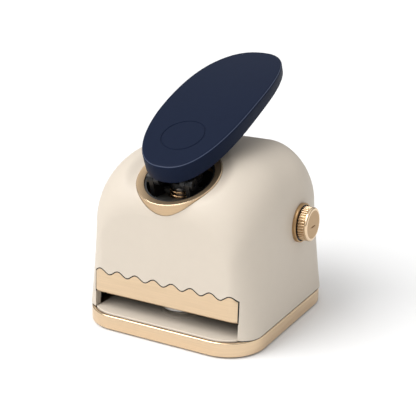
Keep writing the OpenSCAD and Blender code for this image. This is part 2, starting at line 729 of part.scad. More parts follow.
module yoke_screw_places() for (x = [-1, 1])
    translate([x * yoke_screw[0], yoke_screw[1], frame_top]) children();

// Corners of a lug's outline in the side view, as [y, z], and its rear edge at height z
lug_foot = [plunger_y - 6.5, plunger_y + 5];
lug_corners = [[pivot[0] - ear_r * 0.97, pivot[1] - ear_r * 0.24], [lug_foot[0], frame_top],
    [lug_foot[1], frame_top], [pivot[0] + ear_r * 0.83, pivot[1] + ear_r * 0.56]];
function lug_rear(z) =
    mix(lug_corners[2][0], lug_corners[3][0], (z - frame_top) / (lug_corners[3][1] - frame_top));

// Bracket on the press frame with two lugs that carry the lever
module pivot_yoke() color(black) difference() {
    union() {
        translate([-lug_out, lug_foot[0], frame_top]) cube([2 * lug_out, yoke_back - lug_foot[0], yoke_t]);
        for (x = [-1, 1]) translate([x * (lug_in + lug_t / 2) - lug_t / 2, 0, 0]) rotate([90, 0, 90]) {
            linear_extrude(lug_t) polygon(lug_corners);
            translate([pivot[0], pivot[1], 0]) cylinder(r = ear_r, h = lug_t);
        }
    }
    translate([0, plunger_y, frame_top - cut]) cylinder(r = yoke_bore_r, h = yoke_t + 2 * cut);
    yoke_screw_places() translate([0, 0, -cut])
        cylinder(r = small_screw_r + screw_play, h = yoke_t + 2 * cut);
    translate([-lug_out - cut, pivot[0], pivot[1]]) rotate([0, 90, 0])
        cylinder(r = pivot_r + seat_gap, h = 2 * lug_out + 2 * cut);
}

module yoke_screws() color(steel) yoke_screw_places()
    translate([0, 0, yoke_t]) rotate([180, 0, 0])
        screw(small_screw_r, yoke_t + tap_depth - 2, small_head_r, small_head_t);

// Shoulder screws through the lugs into the bores of the lever's cheeks
module pivot_screws() color(steel) for (turn = [0, 180])
    translate([0, pivot[0], pivot[1]]) rotate([0, turn, 0]) translate([lug_out, 0, 0]) rotate([0, -90, 0])
        screw(pivot_r, lug_out - cheek_in, pivot_r + 1, pivot_head_t);

module die_ring(z, w, h) translate([0, plunger_y, z]) difference() {
    cylinder(r = ring_mid_r + w / 2, h = h);
    translate([0, 0, -cut]) cylinder(r = ring_mid_r - w / 2, h = h + 2 * cut);
}

module lower_die() color(cream) difference() {
    translate([0, plunger_y, lower_die_top - die_t]) cylinder(r = die_r, h = die_t);
    die_ring(lower_die_top - groove_h, groove_w, groove_h + cut);
}

module on_knob() translate([0, knob_y, knob_z]) rotate([0, 90, 0]) children();

module knob_ring() color(brass) on_knob() difference() {
    union() {
        translate([0, 0, shell_side])
            cylinder(r1 = knob_ring_r, r2 = knob_ring_r - ring_draft, h = knob_ring_t);
        translate([0, 0, knob_bush_in]) cylinder(r = knob_bush_r, h = shell_side - knob_bush_in + cut);
    }
    translate([0, 0, knob_bush_in - cut]) cylinder(r = shaft_r + fit_gap, h = knob_base - knob_bush_in + cut);
}

// Places of the bearing's screws, with Z pointing out of the frame's side
module bearing_screw_places() for (y = [-1, 1])
    translate([frame_half, knob_y + y * bearing_screw_y, knob_z]) rotate([0, 90, 0]) children();

module shaft_bearing() color(bronze) difference() {
    translate([frame_half, knob_y - bearing_half, knob_z - bearing_rise])
        cube([bearing_len, 2 * bearing_half, 2 * bearing_rise]);
    on_knob() translate([0, 0, frame_half + bearing_floor]) cylinder(r = shaft_r + fit_gap, h = bearing_len);
    bearing_screw_places() translate([0, 0, -cut])
        cylinder(r = small_screw_r + screw_play, h = bearing_len + 2 * cut);
}

module bearing_screws() color(steel) bearing_screw_places()
    translate([0, 0, bearing_len]) rotate([180, 0, 0])
        screw(small_screw_r, bearing_len + tap_depth - 1, small_head_r, small_head_t);

module guide_post() color(iron) difference() {
    translate([guide_x - post_half, post_y[0], base_top])
        cube([2 * post_half, post_y[1] - post_y[0], post_top - base_top]);
    translate([guide_x, post_y[0] - cut, guide_z]) rotate([-90, 0, 0])
        cylinder(r = guide_r + seat_gap, h = post_y[1] - post_y[0] + 2 * cut);
    post_screw_places() translate([0, 0, base_top - cut])
        cylinder(r = post_screw_r + seat_gap, h = post_screw_depth + 2 * cut);
}

module guide_rod() color(steel) translate([guide_x, guide_front, guide_z]) rotate([-90, 0, 0])
    cylinder(r = guide_r, h = post_y[1] - guide_front);

module lever_bumper() color(rubber) {
    translate([0, bumper_y, shell_h]) cylinder(r = bumper_r, h = bumper_h - bumper_chamfer);
    translate([0, bumper_y, shell_h + bumper_h - bumper_chamfer])
        cylinder(r1 = bumper_r, r2 = bumper_r - bumper_chamfer, h = bumper_chamfer);
    translate([0, bumper_y, shell_h - shell_wall - 1]) cylinder(r = bumper_stem_r, h = shell_wall + 2);
}

module on_lever() translate([0, lever_at[0], lever_at[1]]) rotate([lever_tilt, 0, 0]) children();

// Point of the lever's outline, drawn in by the given margin
function signed_pow(x, p) = sign(x) * pow(abs(x), p);
function paddle_edge(t, margin) =
    [(lever_b - margin) * signed_pow(sin(t), 2 / lever_power),
     (lever_a - margin) * signed_pow(cos(t), 2 / lever_power)];
function paddle_top(v) = -lever_sag * pow(v / lever_a, 2);
function paddle_thick(v) = mix(lever_t_front, lever_t_tail, (v + lever_a) / lever_len);

// Rings of the paddle from the middle of its underside to the middle of its top, each as
// [share of the outline, margin, height above the underside or below the top, 1 for the top]
paddle_rings = [[0.3, 1, 0, 0], [0.65, 1, 0, 0], [1, 1, 0, 0], [1, 0.25, 0.3, 0], [1, 0, 1, 0],
    [1, 0, lever_bevel, 1], [1, lever_bevel * 0.3, lever_bevel * 0.35, 1], [1, lever_bevel, 0, 1],
    [0.65, lever_bevel, 0, 1], [0.3, lever_bevel, 0, 1]];

module paddle_solid() {
    steps = 48;
    rings = len(paddle_rings);
    points = [for (ring = paddle_rings, i = [0:steps - 1])
        let (e = paddle_edge(360 * i / steps, ring[1]) * ring[0],
             top = paddle_top(e[1]))
        [e[0], e[1], ring[3] == 1 ? top - ring[2] : top - paddle_thick(e[1]) + ring[2]]];
    under = len(points);
    poles = [[0, 0, -paddle_thick(0)], [0, 0, 0]];
    walls = [for (r = [0:rings - 2], i = [0:steps - 1])
        let (a = r * steps + i, b = r * steps + (i + 1) % steps)
        each [[a, b + steps, a + steps], [a, b, b + steps]]];
    last = (rings - 1) * steps;
    caps = [for (i = [0:steps - 1]) let (j = (i + 1) % steps)
        each [[under, j, i], [under + 1, last + i, last + j]]];
    polyhedron(concat(points, poles), concat(walls, caps));
}

module lever_paddle() color(navy) on_lever() difference() {
    paddle_solid();
    translate([-cheek_out - inlay_gap, arm_pocket[0], arm_plate_top - lever_len])
        cube([2 * (cheek_out + inlay_gap), arm_pocket[1] - arm_pocket[0], lever_len]);
    for (v = arm_screw_v) translate([0, v, arm_plate_top - cut])
        cylinder(r = small_screw_r + seat_gap, h = arm_screw_grip + inlay_gap + cut);
}

// Side view of one cheek, from the plate to the pivot and the cam dowel
module lever_cheek() hull() {
    translate(pivot_local) circle(r = ear_r, $fn = 32);
    translate(dowel_local) circle(r = dowel_eye_r, $fn = 32);
    translate([cheek_span[0], arm_plate_bottom]) square([cheek_span[1] - cheek_span[0], arm_plate_t / 4]);
}

// Pressed channel under the lever: a plate against the paddle and two cheeks
module lever_arm() color(iron) on_lever() difference() {
    union() {
        translate([-cheek_out, arm_plate_front, arm_plate_bottom])
            cube([2 * cheek_out, arm_plate_back - arm_plate_front, arm_plate_t]);
        for (x = [-cheek_out, cheek_in])
            translate([x, 0, 0]) rotate([90, 0, 90]) linear_extrude(cheek_t) lever_cheek();
    }
    lever_bore(pivot_local, pivot_r + fit_gap);
    lever_bore(dowel_local, dowel_r + seat_gap);
    for (v = arm_screw_v) translate([0, v, arm_plate_bottom - cut])
        cylinder(r = small_screw_r + screw_play, h = arm_plate_t + 2 * cut);
}

module lever_bore(p, r) translate([-cheek_out - cut, p[0], p[1]]) rotate([0, 90, 0])
    cylinder(r = r, h = 2 * cheek_out + 2 * cut);

module arm_screws() color(steel) on_lever() for (v = arm_screw_v)
    translate([0, v, arm_plate_bottom])
        screw(small_screw_r, arm_plate_t + arm_screw_grip, small_head_r, small_head_t);

module cam_dowel() color(steel) translate([-cheek_out, dowel[0], dowel[1]]) rotate([0, 90, 0])
    cylinder(r = dowel_r, h = 2 * cheek_out);

module plunger_rod() color(steel) translate([0, plunger_y, 0]) difference() {
    translate([0, 0, upper_die_top]) cylinder(r = rod_r, h = cap_top - cap_crown - upper_die_top);
    translate([0, 0, clip_top - clip_t]) difference() {
        cylinder(r = rod_r + cut, h = clip_t);
        translate([0, 0, -cut]) cylinder(r = clip_groove_r, h = clip_t + 2 * cut);
    }
}

module plunger_cap() color(black) translate([0, plunger_y, 0]) difference() {
    union() {
        translate([0, 0, cap_under]) cylinder(r = cap_r, h = cap_t - cap_chamfer);
        translate([0, 0, cap_top - cap_chamfer])
            cylinder(r1 = cap_r, r2 = cap_r - cap_chamfer, h = cap_chamfer);
    }
    translate([0, 0, cap_under - cut]) cylinder(r = rod_r + seat_gap, h = cap_t - cap_crown + cut);
}

module retaining_clip() color(steel) translate([0, plunger_y, clip_top - clip_t + seat_gap]) difference() {
    cylinder(r = bush_r, h = clip_t - 2 * seat_gap);
    translate([0, 0, -cut]) cylinder(r = clip_groove_r + seat_gap, h = clip_t + 2 * cut);
    translate([-clip_mouth / 2, 0, -cut]) cube([clip_mouth, 2 * bush_r, clip_t + 2 * cut]);
}

module die_holder() color(iron) translate([0, plunger_y, upper_die_top]) difference() {
    cylinder(r = holder_r, h = holder_t);
    translate([0, 0, -cut]) cylinder(r = rod_r + seat_gap, h = holder_t + 2 * cut);
    translate([0, 0, set_screw_z - upper_die_top]) rotate([90, 0, 0])
        cylinder(r = set_screw_r + seat_gap, h = 2 * holder_r);
}

module upper_die() color(steel) {
    translate([0, plunger_y, upper_die_under]) {
        cylinder(r1 = die_r - die_chamfer, r2 = die_r, h = die_chamfer);
        translate([0, 0, die_chamfer]) cylinder(r = die_r, h = upper_die_t - die_chamfer);
    }
    die_ring(upper_die_under - ring_h, ring_w, ring_h + 0.2);
}

module die_set_screw() color(steel)
    translate([0, plunger_y - rod_r - seat_gap, set_screw_z]) rotate([90, 0, 0]) difference() {
        cylinder(r = set_screw_r, h = holder_r - rod_r);
        translate([0, 0, holder_r - rod_r - 1.6]) cylinder(r = set_screw_r / 2, h = 2, $fn = 6);
    }

module knob() color(brass) on_knob() difference() {
    union() {
        translate([0, 0, knob_base]) cylinder(r = knob_r, h = knob_len - knob_chamfer);
        translate([0, 0, knob_face - knob_chamfer])
            cylinder(r1 = knob_r, r2 = knob_r - knob_chamfer, h = knob_chamfer);
    }
    for (i = [0:knob_flutes - 1]) rotate([0, 0, 360 * i / knob_flutes])
        translate([knob_r + flute_r / 3, 0, knob_base - cut])
            cylinder(r = flute_r, h = knob_len - knob_band + cut, $fn = 16);
    translate([0, 0, knob_base - cut]) cylinder(r = shaft_r + seat_gap, h = knob_len - knob_web + cut);
    translate([tick_offset - tick_w / 2, -tick_len / 2, knob_face - tick_deep]) cube([tick_w, tick_len, cut]);
    translate([0, 0, grub_x]) rotate([0, -90, 0]) cylinder(r = grub_r + seat_gap, h = knob_r + cut);
}

module knob_shaft() color(steel) on_knob() translate([0, 0, shaft_start])
    cylinder(r = shaft_r, h = knob_face - knob_web - screw_play - shaft_start);

module knob_grub_screw() color(steel) on_knob() translate([0, 0, grub_x]) rotate([0, -90, 0])
    translate([0, 0, shaft_r + 2 * seat_gap]) difference() {
        cylinder(r = grub_r, h = knob_r - shaft_r - 1);
        translate([0, 0, knob_r - shaft_r - 2]) cylinder(r = grub_r * 0.55, h = 2, $fn = 6);
    }

// Involute flank: half of the tooth's angle at radius r, for a tooth of the given play
base_circle = pitch_r * cos(pressure_angle);
function involute(a) = tan(a) * 180 / PI - a;
function tooth_half(r) = 90 / pinion_teeth - gear_play / 2 / pitch_r * 180 / PI + involute(pressure_angle)
    - involute(acos(min(1, base_circle / r)));
function gear_point(r, a) = [r * cos(a), r * sin(a)];
pinion_tip = pitch_r + 0.85 * gear_module;
pinion_root = pitch_r - 1.2 * gear_module;
flank = [for (i = [0:4]) mix(max(base_circle, pinion_root + 0.1), pinion_tip, i / 4)];

// The pinion has a gap straight below its axis, where a tooth of the rack stands at rest
module pinion() color(bronze) translate([pinion_x[0], knob_y, knob_z]) rotate([0, 90, 0]) difference() {
    linear_extrude(pinion_x[1] - pinion_x[0]) polygon([for (i = [0:pinion_teeth - 1])
        let (m = 360 * (i + 0.5) / pinion_teeth)
        each concat([gear_point(pinion_root, m - tooth_half(flank[0]))],
            [for (r = flank) gear_point(r, m - tooth_half(r))],
            [for (k = [4:-1:0]) gear_point(flank[k], m + tooth_half(flank[k]))],
            [gear_point(pinion_root, m + tooth_half(flank[0]))])]);
    translate([0, 0, -cut]) cylinder(r = shaft_r + seat_gap, h = pinion_x[1] - pinion_x[0] + 2 * cut);
}

// Outline of one rack tooth, from back to front
function rack_tooth(y) =
    let (half = rack_pitch / 4 - gear_play / 2, s = tan(pressure_angle), deep = rack_line - rack_root)
    [[y + half + deep * s, rack_root], [y + half - rack_addendum * s, rack_line + rack_addendum],
     [y - half + rack_addendum * s, rack_line + rack_addendum], [y - half - deep * s, rack_root]];

// Toothed bar, hanging plate and guide boss of the paper stop
rack_half = rack_teeth / 2 * rack_pitch;
carriage_len = carriage_back - carriage_front;
module stop_carriage() color(steel) difference() {
    union() {
        translate([pinion_x[0], knob_y, 0]) rotate([90, 0, 90]) linear_extrude(pinion_x[1] - pinion_x[0])
            polygon(concat([[rack_half, rack_under], [rack_half, rack_root]],
                [for (i = [rack_teeth - 1:-1:0]) each rack_tooth((i - (rack_teeth - 1) / 2) * rack_pitch)],
                [[-rack_half, rack_root], [-rack_half, rack_under]]));
        translate([pinion_x[0], carriage_front, stop_under])
            cube([plate_t, carriage_len, rack_root - stop_under]);
        translate([foot_x[0], carriage_front, stop_under])
            cube([foot_x[1] - foot_x[0], foot_back - carriage_front, fence_h]);
        translate([guide_x, carriage_front, guide_z]) rotate([-90, 0, 0])
            cylinder(r = guide_boss_r, h = carriage_len);
    }
    translate([guide_x, carriage_front - cut, guide_z]) rotate([-90, 0, 0])
        cylinder(r = guide_r + fit_gap, h = carriage_len + 2 * cut);
    fence_screw_places() translate([0, 0, -cut]) cylinder(r = fence_screw_r + seat_gap, h = fence_tap + cut);
}

// Places of the fence's screws on the front of the carriage's foot, with Z pointing back
module fence_screw_places() for (x = [foot_x[0] + 2, foot_x[1] - 2])
    translate([x, carriage_front, fence_screw_z]) rotate([-90, 0, 0]) children();

module stop_fence() color(steel) difference() {
    translate([fence_left, carriage_front - fence_t, stop_under])
        cube([foot_x[1] - fence_left, fence_t, fence_h]);
    fence_screw_places() {
        translate([0, 0, -fence_t - cut]) cylinder(r = fence_screw_r + screw_play, h = fence_t + 2 * cut);
        translate([0, 0, -fence_t - cut]) cylinder(r = fence_head_r + inlay_gap, h = fence_sink + cut);
    }
}

module fence_screws() color(steel) fence_screw_places() translate([0, 0, fence_sink - fence_t])
    screw(fence_screw_r, fence_t + fence_tap - 2, fence_head_r, fence_sink - screw_play);

rubber_sole();
base_plate();
paper_deck();
deck_screws();
body_shell();
shell_screws();
front_fascia();
collar_ring();
well_liner();
spring_cup();
return_spring();
press_frame();
frame_screws();
guide_bush();
pivot_yoke();
yoke_screws();
pivot_screws();
lower_die();
knob_ring();
shaft_bearing();
bearing_screws();
guide_post();
post_screws();
guide_rod();
lever_bumper();
lever_paddle();
lever_arm();
arm_screws();
cam_dowel();
plunger_rod();
plunger_cap();
retaining_clip();
die_holder();
upper_die();
die_set_screw();
knob();
knob_shaft();
pinion();
knob_grub_screw();
stop_carriage();
stop_fence();
fence_screws();
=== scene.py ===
"""Looks of a desk embossing press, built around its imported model."""
import math

import bmesh
import bpy
from bpy.props import FloatProperty, FloatVectorProperty, IntProperty, PointerProperty
from mathutils import Matrix, Vector


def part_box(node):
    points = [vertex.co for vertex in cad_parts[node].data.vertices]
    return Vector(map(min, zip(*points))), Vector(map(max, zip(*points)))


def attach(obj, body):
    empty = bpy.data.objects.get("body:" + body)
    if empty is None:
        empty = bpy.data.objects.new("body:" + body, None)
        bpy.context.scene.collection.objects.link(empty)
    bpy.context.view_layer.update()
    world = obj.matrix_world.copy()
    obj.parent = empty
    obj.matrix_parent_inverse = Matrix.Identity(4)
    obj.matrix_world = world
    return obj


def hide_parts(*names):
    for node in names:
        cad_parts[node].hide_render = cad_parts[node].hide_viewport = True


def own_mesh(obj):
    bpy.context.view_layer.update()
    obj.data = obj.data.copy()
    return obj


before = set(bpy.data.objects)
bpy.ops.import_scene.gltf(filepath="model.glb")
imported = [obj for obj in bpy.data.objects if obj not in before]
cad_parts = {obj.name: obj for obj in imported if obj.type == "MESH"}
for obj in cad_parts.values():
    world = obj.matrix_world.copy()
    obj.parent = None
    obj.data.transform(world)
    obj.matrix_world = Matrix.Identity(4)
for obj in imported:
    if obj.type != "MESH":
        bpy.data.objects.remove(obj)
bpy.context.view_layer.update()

bl_info = {
    "name": "Desk embossing press",
    "version": (1, 0, 0),
    "blender": (4, 5, 0),
    "location": "3D View > Sidebar > Press",
    "description": "Dresses the packed embossing press with smooth pieces and finishes",
    "category": "Object",
}

MM = 0.001


def box_mm(node):
    """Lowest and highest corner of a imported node, in millimetres."""
    low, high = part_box(node)
    return low / MM, high / MM


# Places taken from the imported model
BASE_LOW, BASE_HIGH = box_mm("base_plate")
DECK_LOW, DECK_HIGH = box_mm("paper_deck")
SHELL_HIGH = box_mm("body_shell")[1]
SLOT_TOP = box_mm("front_fascia")[0].z
FASCIA_HALF = box_mm("front_fascia")[1].x
FASCIA_TOP = box_mm("front_fascia")[1].z
KNOB_LOW, KNOB_HIGH = box_mm("knob")
KNOB_AT = Vector((0, (KNOB_LOW.y + KNOB_HIGH.y) / 2, (KNOB_LOW.z + KNOB_HIGH.z) / 2))
SPRING_LOW, SPRING_HIGH = box_mm("return_spring")
DIE_LOW, DIE_HIGH = box_mm("lower_die")
DIE_AT = (DIE_LOW + DIE_HIGH) / 2

# Base and deck: corners, hollow for the sole, gaps, and the angles of rounded edges
BASE_R = 18.6
SOLE_INSET = 1.8
SOLE_TOP = 2.0
DECK_GAP = 0.5
DIE_GAP = 0.2
CUT_OVER = 3.0
ROUNDING = [math.radians(a) for a in (0, 22.5, 45, 67.5, 90)]
UNDERCUT = [math.radians(a) for a in (0, 30, 60, 90)]

# Shape of the housing
SHELL_HALF = SHELL_HIGH.x
SHELL_REACH = 40.8
SHELL_TOP = 82.2
SHELL_WALL = 2.6
SHOULDER_R = 26.0
SHOULDER_PINCH = 8.0
FOOT_ROUND = (10.5, 9.6)
SIDE_ROUND = (13.0, 33.0)
FRONT_CROWN = (25.0, 40.0)
BACK_CROWN = (21.5, 21.0)
FOOT_FILLET = 0.45
FOOT_TUCKS = [math.radians(a) for a in (0, 30, 60)]
SIDE_ROWS = 26
SLOT_HALF = FASCIA_HALF + 0.2
SCALLOPS = 8
SCALLOP_DEPTH = 2.3
SCALLOP_PITCH = 2 * FASCIA_HALF / (SCALLOPS - 0.26)
FASCIA_T = 1.6
FASCIA_GAP = 0.4
FASCIA_LIP = 0.6

# Cutters of the housing: how far the slot reaches to the front, down and back, the recess and the bores
SLOT_REACH = (5.0, 2.0, 9.0)
RECESS_REACH = 4.0
RECESS_EDGE = 0.01
SEAT_GAP = 0.02
BORE_GAP = 0.15
BORE_SPAN = (-30.0, 20.0)
KNOB_HOLE_REACH = 10.0

# Collar: its centre at the rim, its lean and its axis
COLLAR_AT = Vector((0, -26.0, 74.4))
COLLAR_TILT = math.radians(27.5)
COLLAR_AXIS = Vector((0, -math.sin(COLLAR_TILT), math.cos(COLLAR_TILT)))
COLLAR_RO = 19.8
COLLAR_RI = 16.3
COLLAR_LEN = 11.0
DISH_DEPTH = 0.5
DISH_R = 10.0
DISH_BLEND = 2.0

# Lever: its middle, its slope and the curve of its top
LEVER_AT = Vector((0, 5.41, 103.14))
LEVER_TILT = math.radians(20.3)
LEVER_A = 51.0
LEVER_B = 22.5
LEVER_POWER = 2.4
LEVER_SAG = 3.9
LEVER_T = (8.9, 5.3)
ARM_PLATE_TOP = -7.0
ARM_POCKET = (8.2, -45.0, -26.0)
POCKET_REACH = 20.0
GROOVE_TOP = 2.0
GROOVE_STEPS = 128

# Knob: its cupped ring as (outer radius, inner radius, thickness, depth), its bush, grip, ribs and tick
KNOB_RING = (9.2, 8.45, 1.6, 0.9)
KNOB_BUSH_R = 4.7
KNOB_BUSH_LEN = 4.5
KNOB_BORE_R = 2.54
KNOB_GRIP = 3.0
RIB_R = 0.42
TICK_DEEP = 0.4
TICK_HALF = 2.0
TICK_SPAN = (-1.3, -0.7)


class PressSizes(bpy.types.PropertyGroup):
    """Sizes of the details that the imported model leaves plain, in millimetres"""
    base_edge: FloatProperty(
        name="Base edge", description="Rounding along the top edge of the base",
        default=0.6, min=0.1, max=1.0)
    deck_edge: FloatProperty(
        name="Deck edge", description="Rounding along the top edge of the deck",
        default=0.5, min=0.1, max=0.6)
    fascia_edge: FloatProperty(
        name="Fascia edge", description="Bevel around the face of the fascia",
        default=0.12, min=0.05, max=0.4)
    collar_edge: FloatProperty(
        name="Collar edge", description="Rounding along the rim of the collar",
        default=0.4, min=0.1, max=0.8)
    lever_bevel: FloatProperty(
        name="Lever bevel", description="Rounded bevel around the top of the lever",
        default=1.1, min=0.5, max=2.0)
    ring_radius: FloatProperty(
        name="Ring radius", description="Radius of the ring sunk into the lever",
        default=10.0, min=6.0, max=12.0)
    ring_place: FloatProperty(
        name="Ring place", description="Where the ring lies along the lever, from its middle",
        default=-29.7)
    ring_width: FloatProperty(
        name="Ring width", description="Width of the ring sunk into the lever",
        default=0.7, min=0.3, max=1.5)
    ring_depth: FloatProperty(
        name="Ring depth", description="Depth of the ring sunk into the lever",
        default=0.25, min=0.1, max=0.6)
    knob_ribs: IntProperty(
        name="Knob ribs", description="Ribs around the grip of the knob", default=36, min=24, max=60)
    spring_turns: IntProperty(
        name="Spring turns", description="Turns of the return spring", default=6, min=4, max=6)
    wire: FloatProperty(
        name="Spring wire", description="Diameter of the spring wire", default=1.1, min=0.8, max=1.15)


def colour_property(name, description, value):
    return FloatVectorProperty(
        name=name, description=description, subtype="COLOR", size=3, min=0, max=1, default=value)


class PressColours(bpy.types.PropertyGroup):
    """Colours of the finishes"""
    cream: colour_property("Cream enamel", "Housing and deck", (0.617, 0.546, 0.459))
    brass: colour_property("Satin brass", "Base and fascia", (0.80, 0.61, 0.41))
    # The collar's brass is a darker copy of the satin brass: painted shade
    collar: colour_property("Collar brass", "Collar in the crown", (0.69, 0.51, 0.325))
    # The knob's brass is a darker copy of the satin brass: painted shade on the knob and its ring
    knob: colour_property("Knob brass", "Knob and the ring behind it", (0.455, 0.297, 0.152))
    navy: colour_property("Navy enamel", "Palm lever", (0.007, 0.0125, 0.032))
    # The paler navy on the lever's rounded edge is a painted highlight
    edge_highlight: colour_property("Rubbed navy", "Edge of the lever, paler from use", (0.050, 0.064, 0.110))
    # Black is also painted shade inside the housing, in the gaps round the fascia, collar and knob, and
    # along the housing's foot
    black: colour_property("Black plastic", "Liner of the well", (0.010, 0.010, 0.011))
    cup: colour_property("Cup plastic", "Cup under the spring", (0.034, 0.034, 0.031))
    iron: colour_property("Dark iron", "Press frame and lever arm", (0.045, 0.046, 0.050))
    steel: colour_property("Bright steel", "Rods, screws and paper stop", (0.58, 0.59, 0.61))
    # Bronze is also painted shadow on the walls of the deck's pocket in the base
    bronze: colour_property("Bearing bronze", "Bushes and pinion", (0.48, 0.29, 0.12))
    spring: colour_property("Spring brass", "Return spring", (0.78, 0.50, 0.27))
    rubber: colour_property("Black rubber", "Sole and bumper", (0.018, 0.018, 0.020))
    resin: colour_property("Counter resin", "Lower die", (0.70, 0.62, 0.52))
    floor: colour_property("Floor", "Table under the press", (0.84, 0.84, 0.84))


class PressStage(bpy.types.PropertyGroup):
    """Light around the press"""
    key_strength: FloatProperty(
        name="Key light", description="Strength of the soft light from the upper left",
        default=2.4, min=0, max=10)
    key_spread: FloatProperty(
        name="Key spread", description="Angle that the key light fills",
        default=math.radians(48), min=0.01, max=1.5,
        subtype="ANGLE")
    fill_power: FloatProperty(
        name="Fill light", description="Power of the soft light at the front",
        default=1.0, min=0, unit="POWER")
    zenith: FloatProperty(
        name="Overhead", description="Strength of the soft light from straight above",
        default=1.05, min=0, max=3)
    horizon: FloatProperty(
        name="Horizon", description="Strength of the soft light all around", default=0.14, min=0, max=3)


# Mesh helpers

def new_piece(name, points, faces, finishes, angle=35.0):
    """A closed mesh from points in millimetres, smooth except along edges sharper than the angle."""
    mesh = bpy.data.meshes.new(name)
    mesh.from_pydata([Vector(p) * MM for p in points], [], faces)
    shell = bmesh.new()
    shell.from_mesh(mesh)
    bmesh.ops.recalc_face_normals(shell, faces=shell.faces)
    shell.to_mesh(mesh)
    shell.free()
    for finish in finishes:
        mesh.materials.append(finish)
    piece = bpy.data.objects.new(name, mesh)
    bpy.context.scene.collection.objects.link(piece)
    smooth(piece, angle)
    return piece


def smooth(piece, angle):
    piece.data.shade_smooth()
    piece.data.set_sharp_from_angle(angle=math.radians(angle))


def paint(piece, index, wanted):
    """Give the faces that are wanted the finish with that index."""
    for face in piece.data.polygons:
        if wanted(face.center / MM, face.normal):
            face.material_index = index


def carve(piece, cutters, angle=35.0):
    """Cut the cutters out of the piece, leaving their finish in the cuts, and remove them."""
    for cutter in cutters:
        cut = piece.modifiers.new("cut", "BOOLEAN")
        cut.operation = "DIFFERENCE"
        cut.solver = "EXACT"
        cut.material_mode = "TRANSFER"
        cut.object = cutter
    settle(piece)
    for cutter in cutters:
        mesh = cutter.data
        bpy.data.objects.remove(cutter)
        bpy.data.meshes.remove(mesh)
    smooth(piece, angle)


def settle(piece):
    """Turn the piece's modifiers into its mesh."""
    graph = bpy.context.evaluated_depsgraph_get()
    mesh = bpy.data.meshes.new_from_object(piece.evaluated_get(graph), depsgraph=graph)
    piece.modifiers.clear()
    piece.data = mesh
    mesh.name = piece.name


def dress(piece, body, slot, *nodes):
    """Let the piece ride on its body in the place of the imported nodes."""
    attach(piece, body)
    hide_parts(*nodes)
    return piece


def loft(rings, caps=True, loop=False):
    """Points and faces of a skin through rings of equally many points."""
    count = len(rings[0])
    points = [p for ring in rings for p in ring]
    faces = []
    for r in range(len(rings) if loop else len(rings) - 1):
        low = r * count
        high = (r + 1) % len(rings) * count
        for i in range(count):
            j = (i + 1) % count
            faces.append((low + i, low + j, high + j, high + i))
    if caps and not loop:
        last = (len(rings) - 1) * count
        faces.append(tuple(range(count - 1, -1, -1)))
        faces.append(tuple(range(last, last + count)))
    return points, faces


def arc(centre, r, start, end, steps):
    """Points of an arc in a profile, with angles in degrees."""
    turns = [math.radians(start + (end - start) * i / steps) for i in range(steps + 1)]
    return [(centre[0] + r * math.cos(t), centre[1] + r * math.sin(t)) for t in turns]


def lathe(profile, place, steps=128, loop=False):
    """Points and faces of a turned profile of (radius, height), put in place by a matrix."""
    rings = []
    for radius, height in profile:
        turns = [2 * math.pi * i / steps for i in range(steps)]
        rings.append([place @ Vector((radius * math.cos(t), radius * math.sin(t), height)) for t in turns])
    return loft(rings, loop=loop)


def block(name, low, high, finish):
    """A cutter with square corners."""
    points = [(x, y, z) for x in (low[0], high[0]) for y in (low[1], high[1]) for z in (low[2], high[2])]
    faces = [(0, 1, 3, 2), (4, 6, 7, 5), (0, 4, 5, 1), (2, 3, 7, 6), (0, 2, 6, 4), (1, 5, 7, 3)]
    return new_piece(name, points, faces, [finish])


def mix(a, b, t):
    return a + (b - a) * t


# Finishes: shared effects as node groups, one material for each finish

def node_group(name, inputs, outputs):
    """An empty shader group with sockets given as (name, type, value)."""
    tree = bpy.data.node_groups.new(name, "ShaderNodeTree")
    for label, kind, value in inputs:
        socket = tree.interface.new_socket(label, in_out="INPUT", socket_type=kind)
        if value is not None:
            socket.default_value = value
    for label, kind in outputs:
        tree.interface.new_socket(label, in_out="OUTPUT", socket_type=kind)
    start = tree.nodes.new("NodeGroupInput")
    end = tree.nodes.new("NodeGroupOutput")
    return tree, start, end


def maths(tree, operation, a, b):
    """A maths node on sockets or plain numbers."""
    node = tree.nodes.new("ShaderNodeMath")
    node.operation = operation
    for slot, value in zip(node.inputs, (a, b)):
        if isinstance(value, bpy.types.NodeSocket):
            tree.links.new(value, slot)
        else:
            slot.default_value = value
    return node.outputs[0]


def noise(tree, vector, scale, detail):
    """A noise texture whose scale is a socket."""
    node = tree.nodes.new("ShaderNodeTexNoise")
    node.inputs["Detail"].default_value = detail
    tree.links.new(vector, node.inputs["Vector"])
    tree.links.new(scale, node.inputs["Scale"])
    return node.outputs["Fac"]


def shaded(tree, colour, shade, mask):
    """The colour, darkened by up to the shade where the mask is high."""
    node = tree.nodes.new("ShaderNodeMix")
    node.data_type = "RGBA"
    node.blend_type = "MULTIPLY"
    node.inputs["Factor"].default_value = 1.0
    tree.links.new(colour, node.inputs["A"])
    tree.links.new(maths(tree, "SUBTRACT", 1.0, maths(tree, "MULTIPLY", shade, mask)), node.inputs["B"])
    return node.outputs["Result"]


FINISH_INPUTS = [
    ("Vector", "NodeSocketVector", None),
    ("Colour", "NodeSocketColor", (0.8, 0.8, 0.8, 1)),
    ("Shade", "NodeSocketFloat", 0.1),
    ("Scale", "NodeSocketFloat", 1.0),
    ("Roughness", "NodeSocketFloat", 0.4),
    ("Spread", "NodeSocketFloat", 0.1),
]
FINISH_OUTPUTS = [
    ("Colour", "NodeSocketColor"),
    ("Roughness", "NodeSocketFloat"),
    ("Height", "NodeSocketFloat"),
]


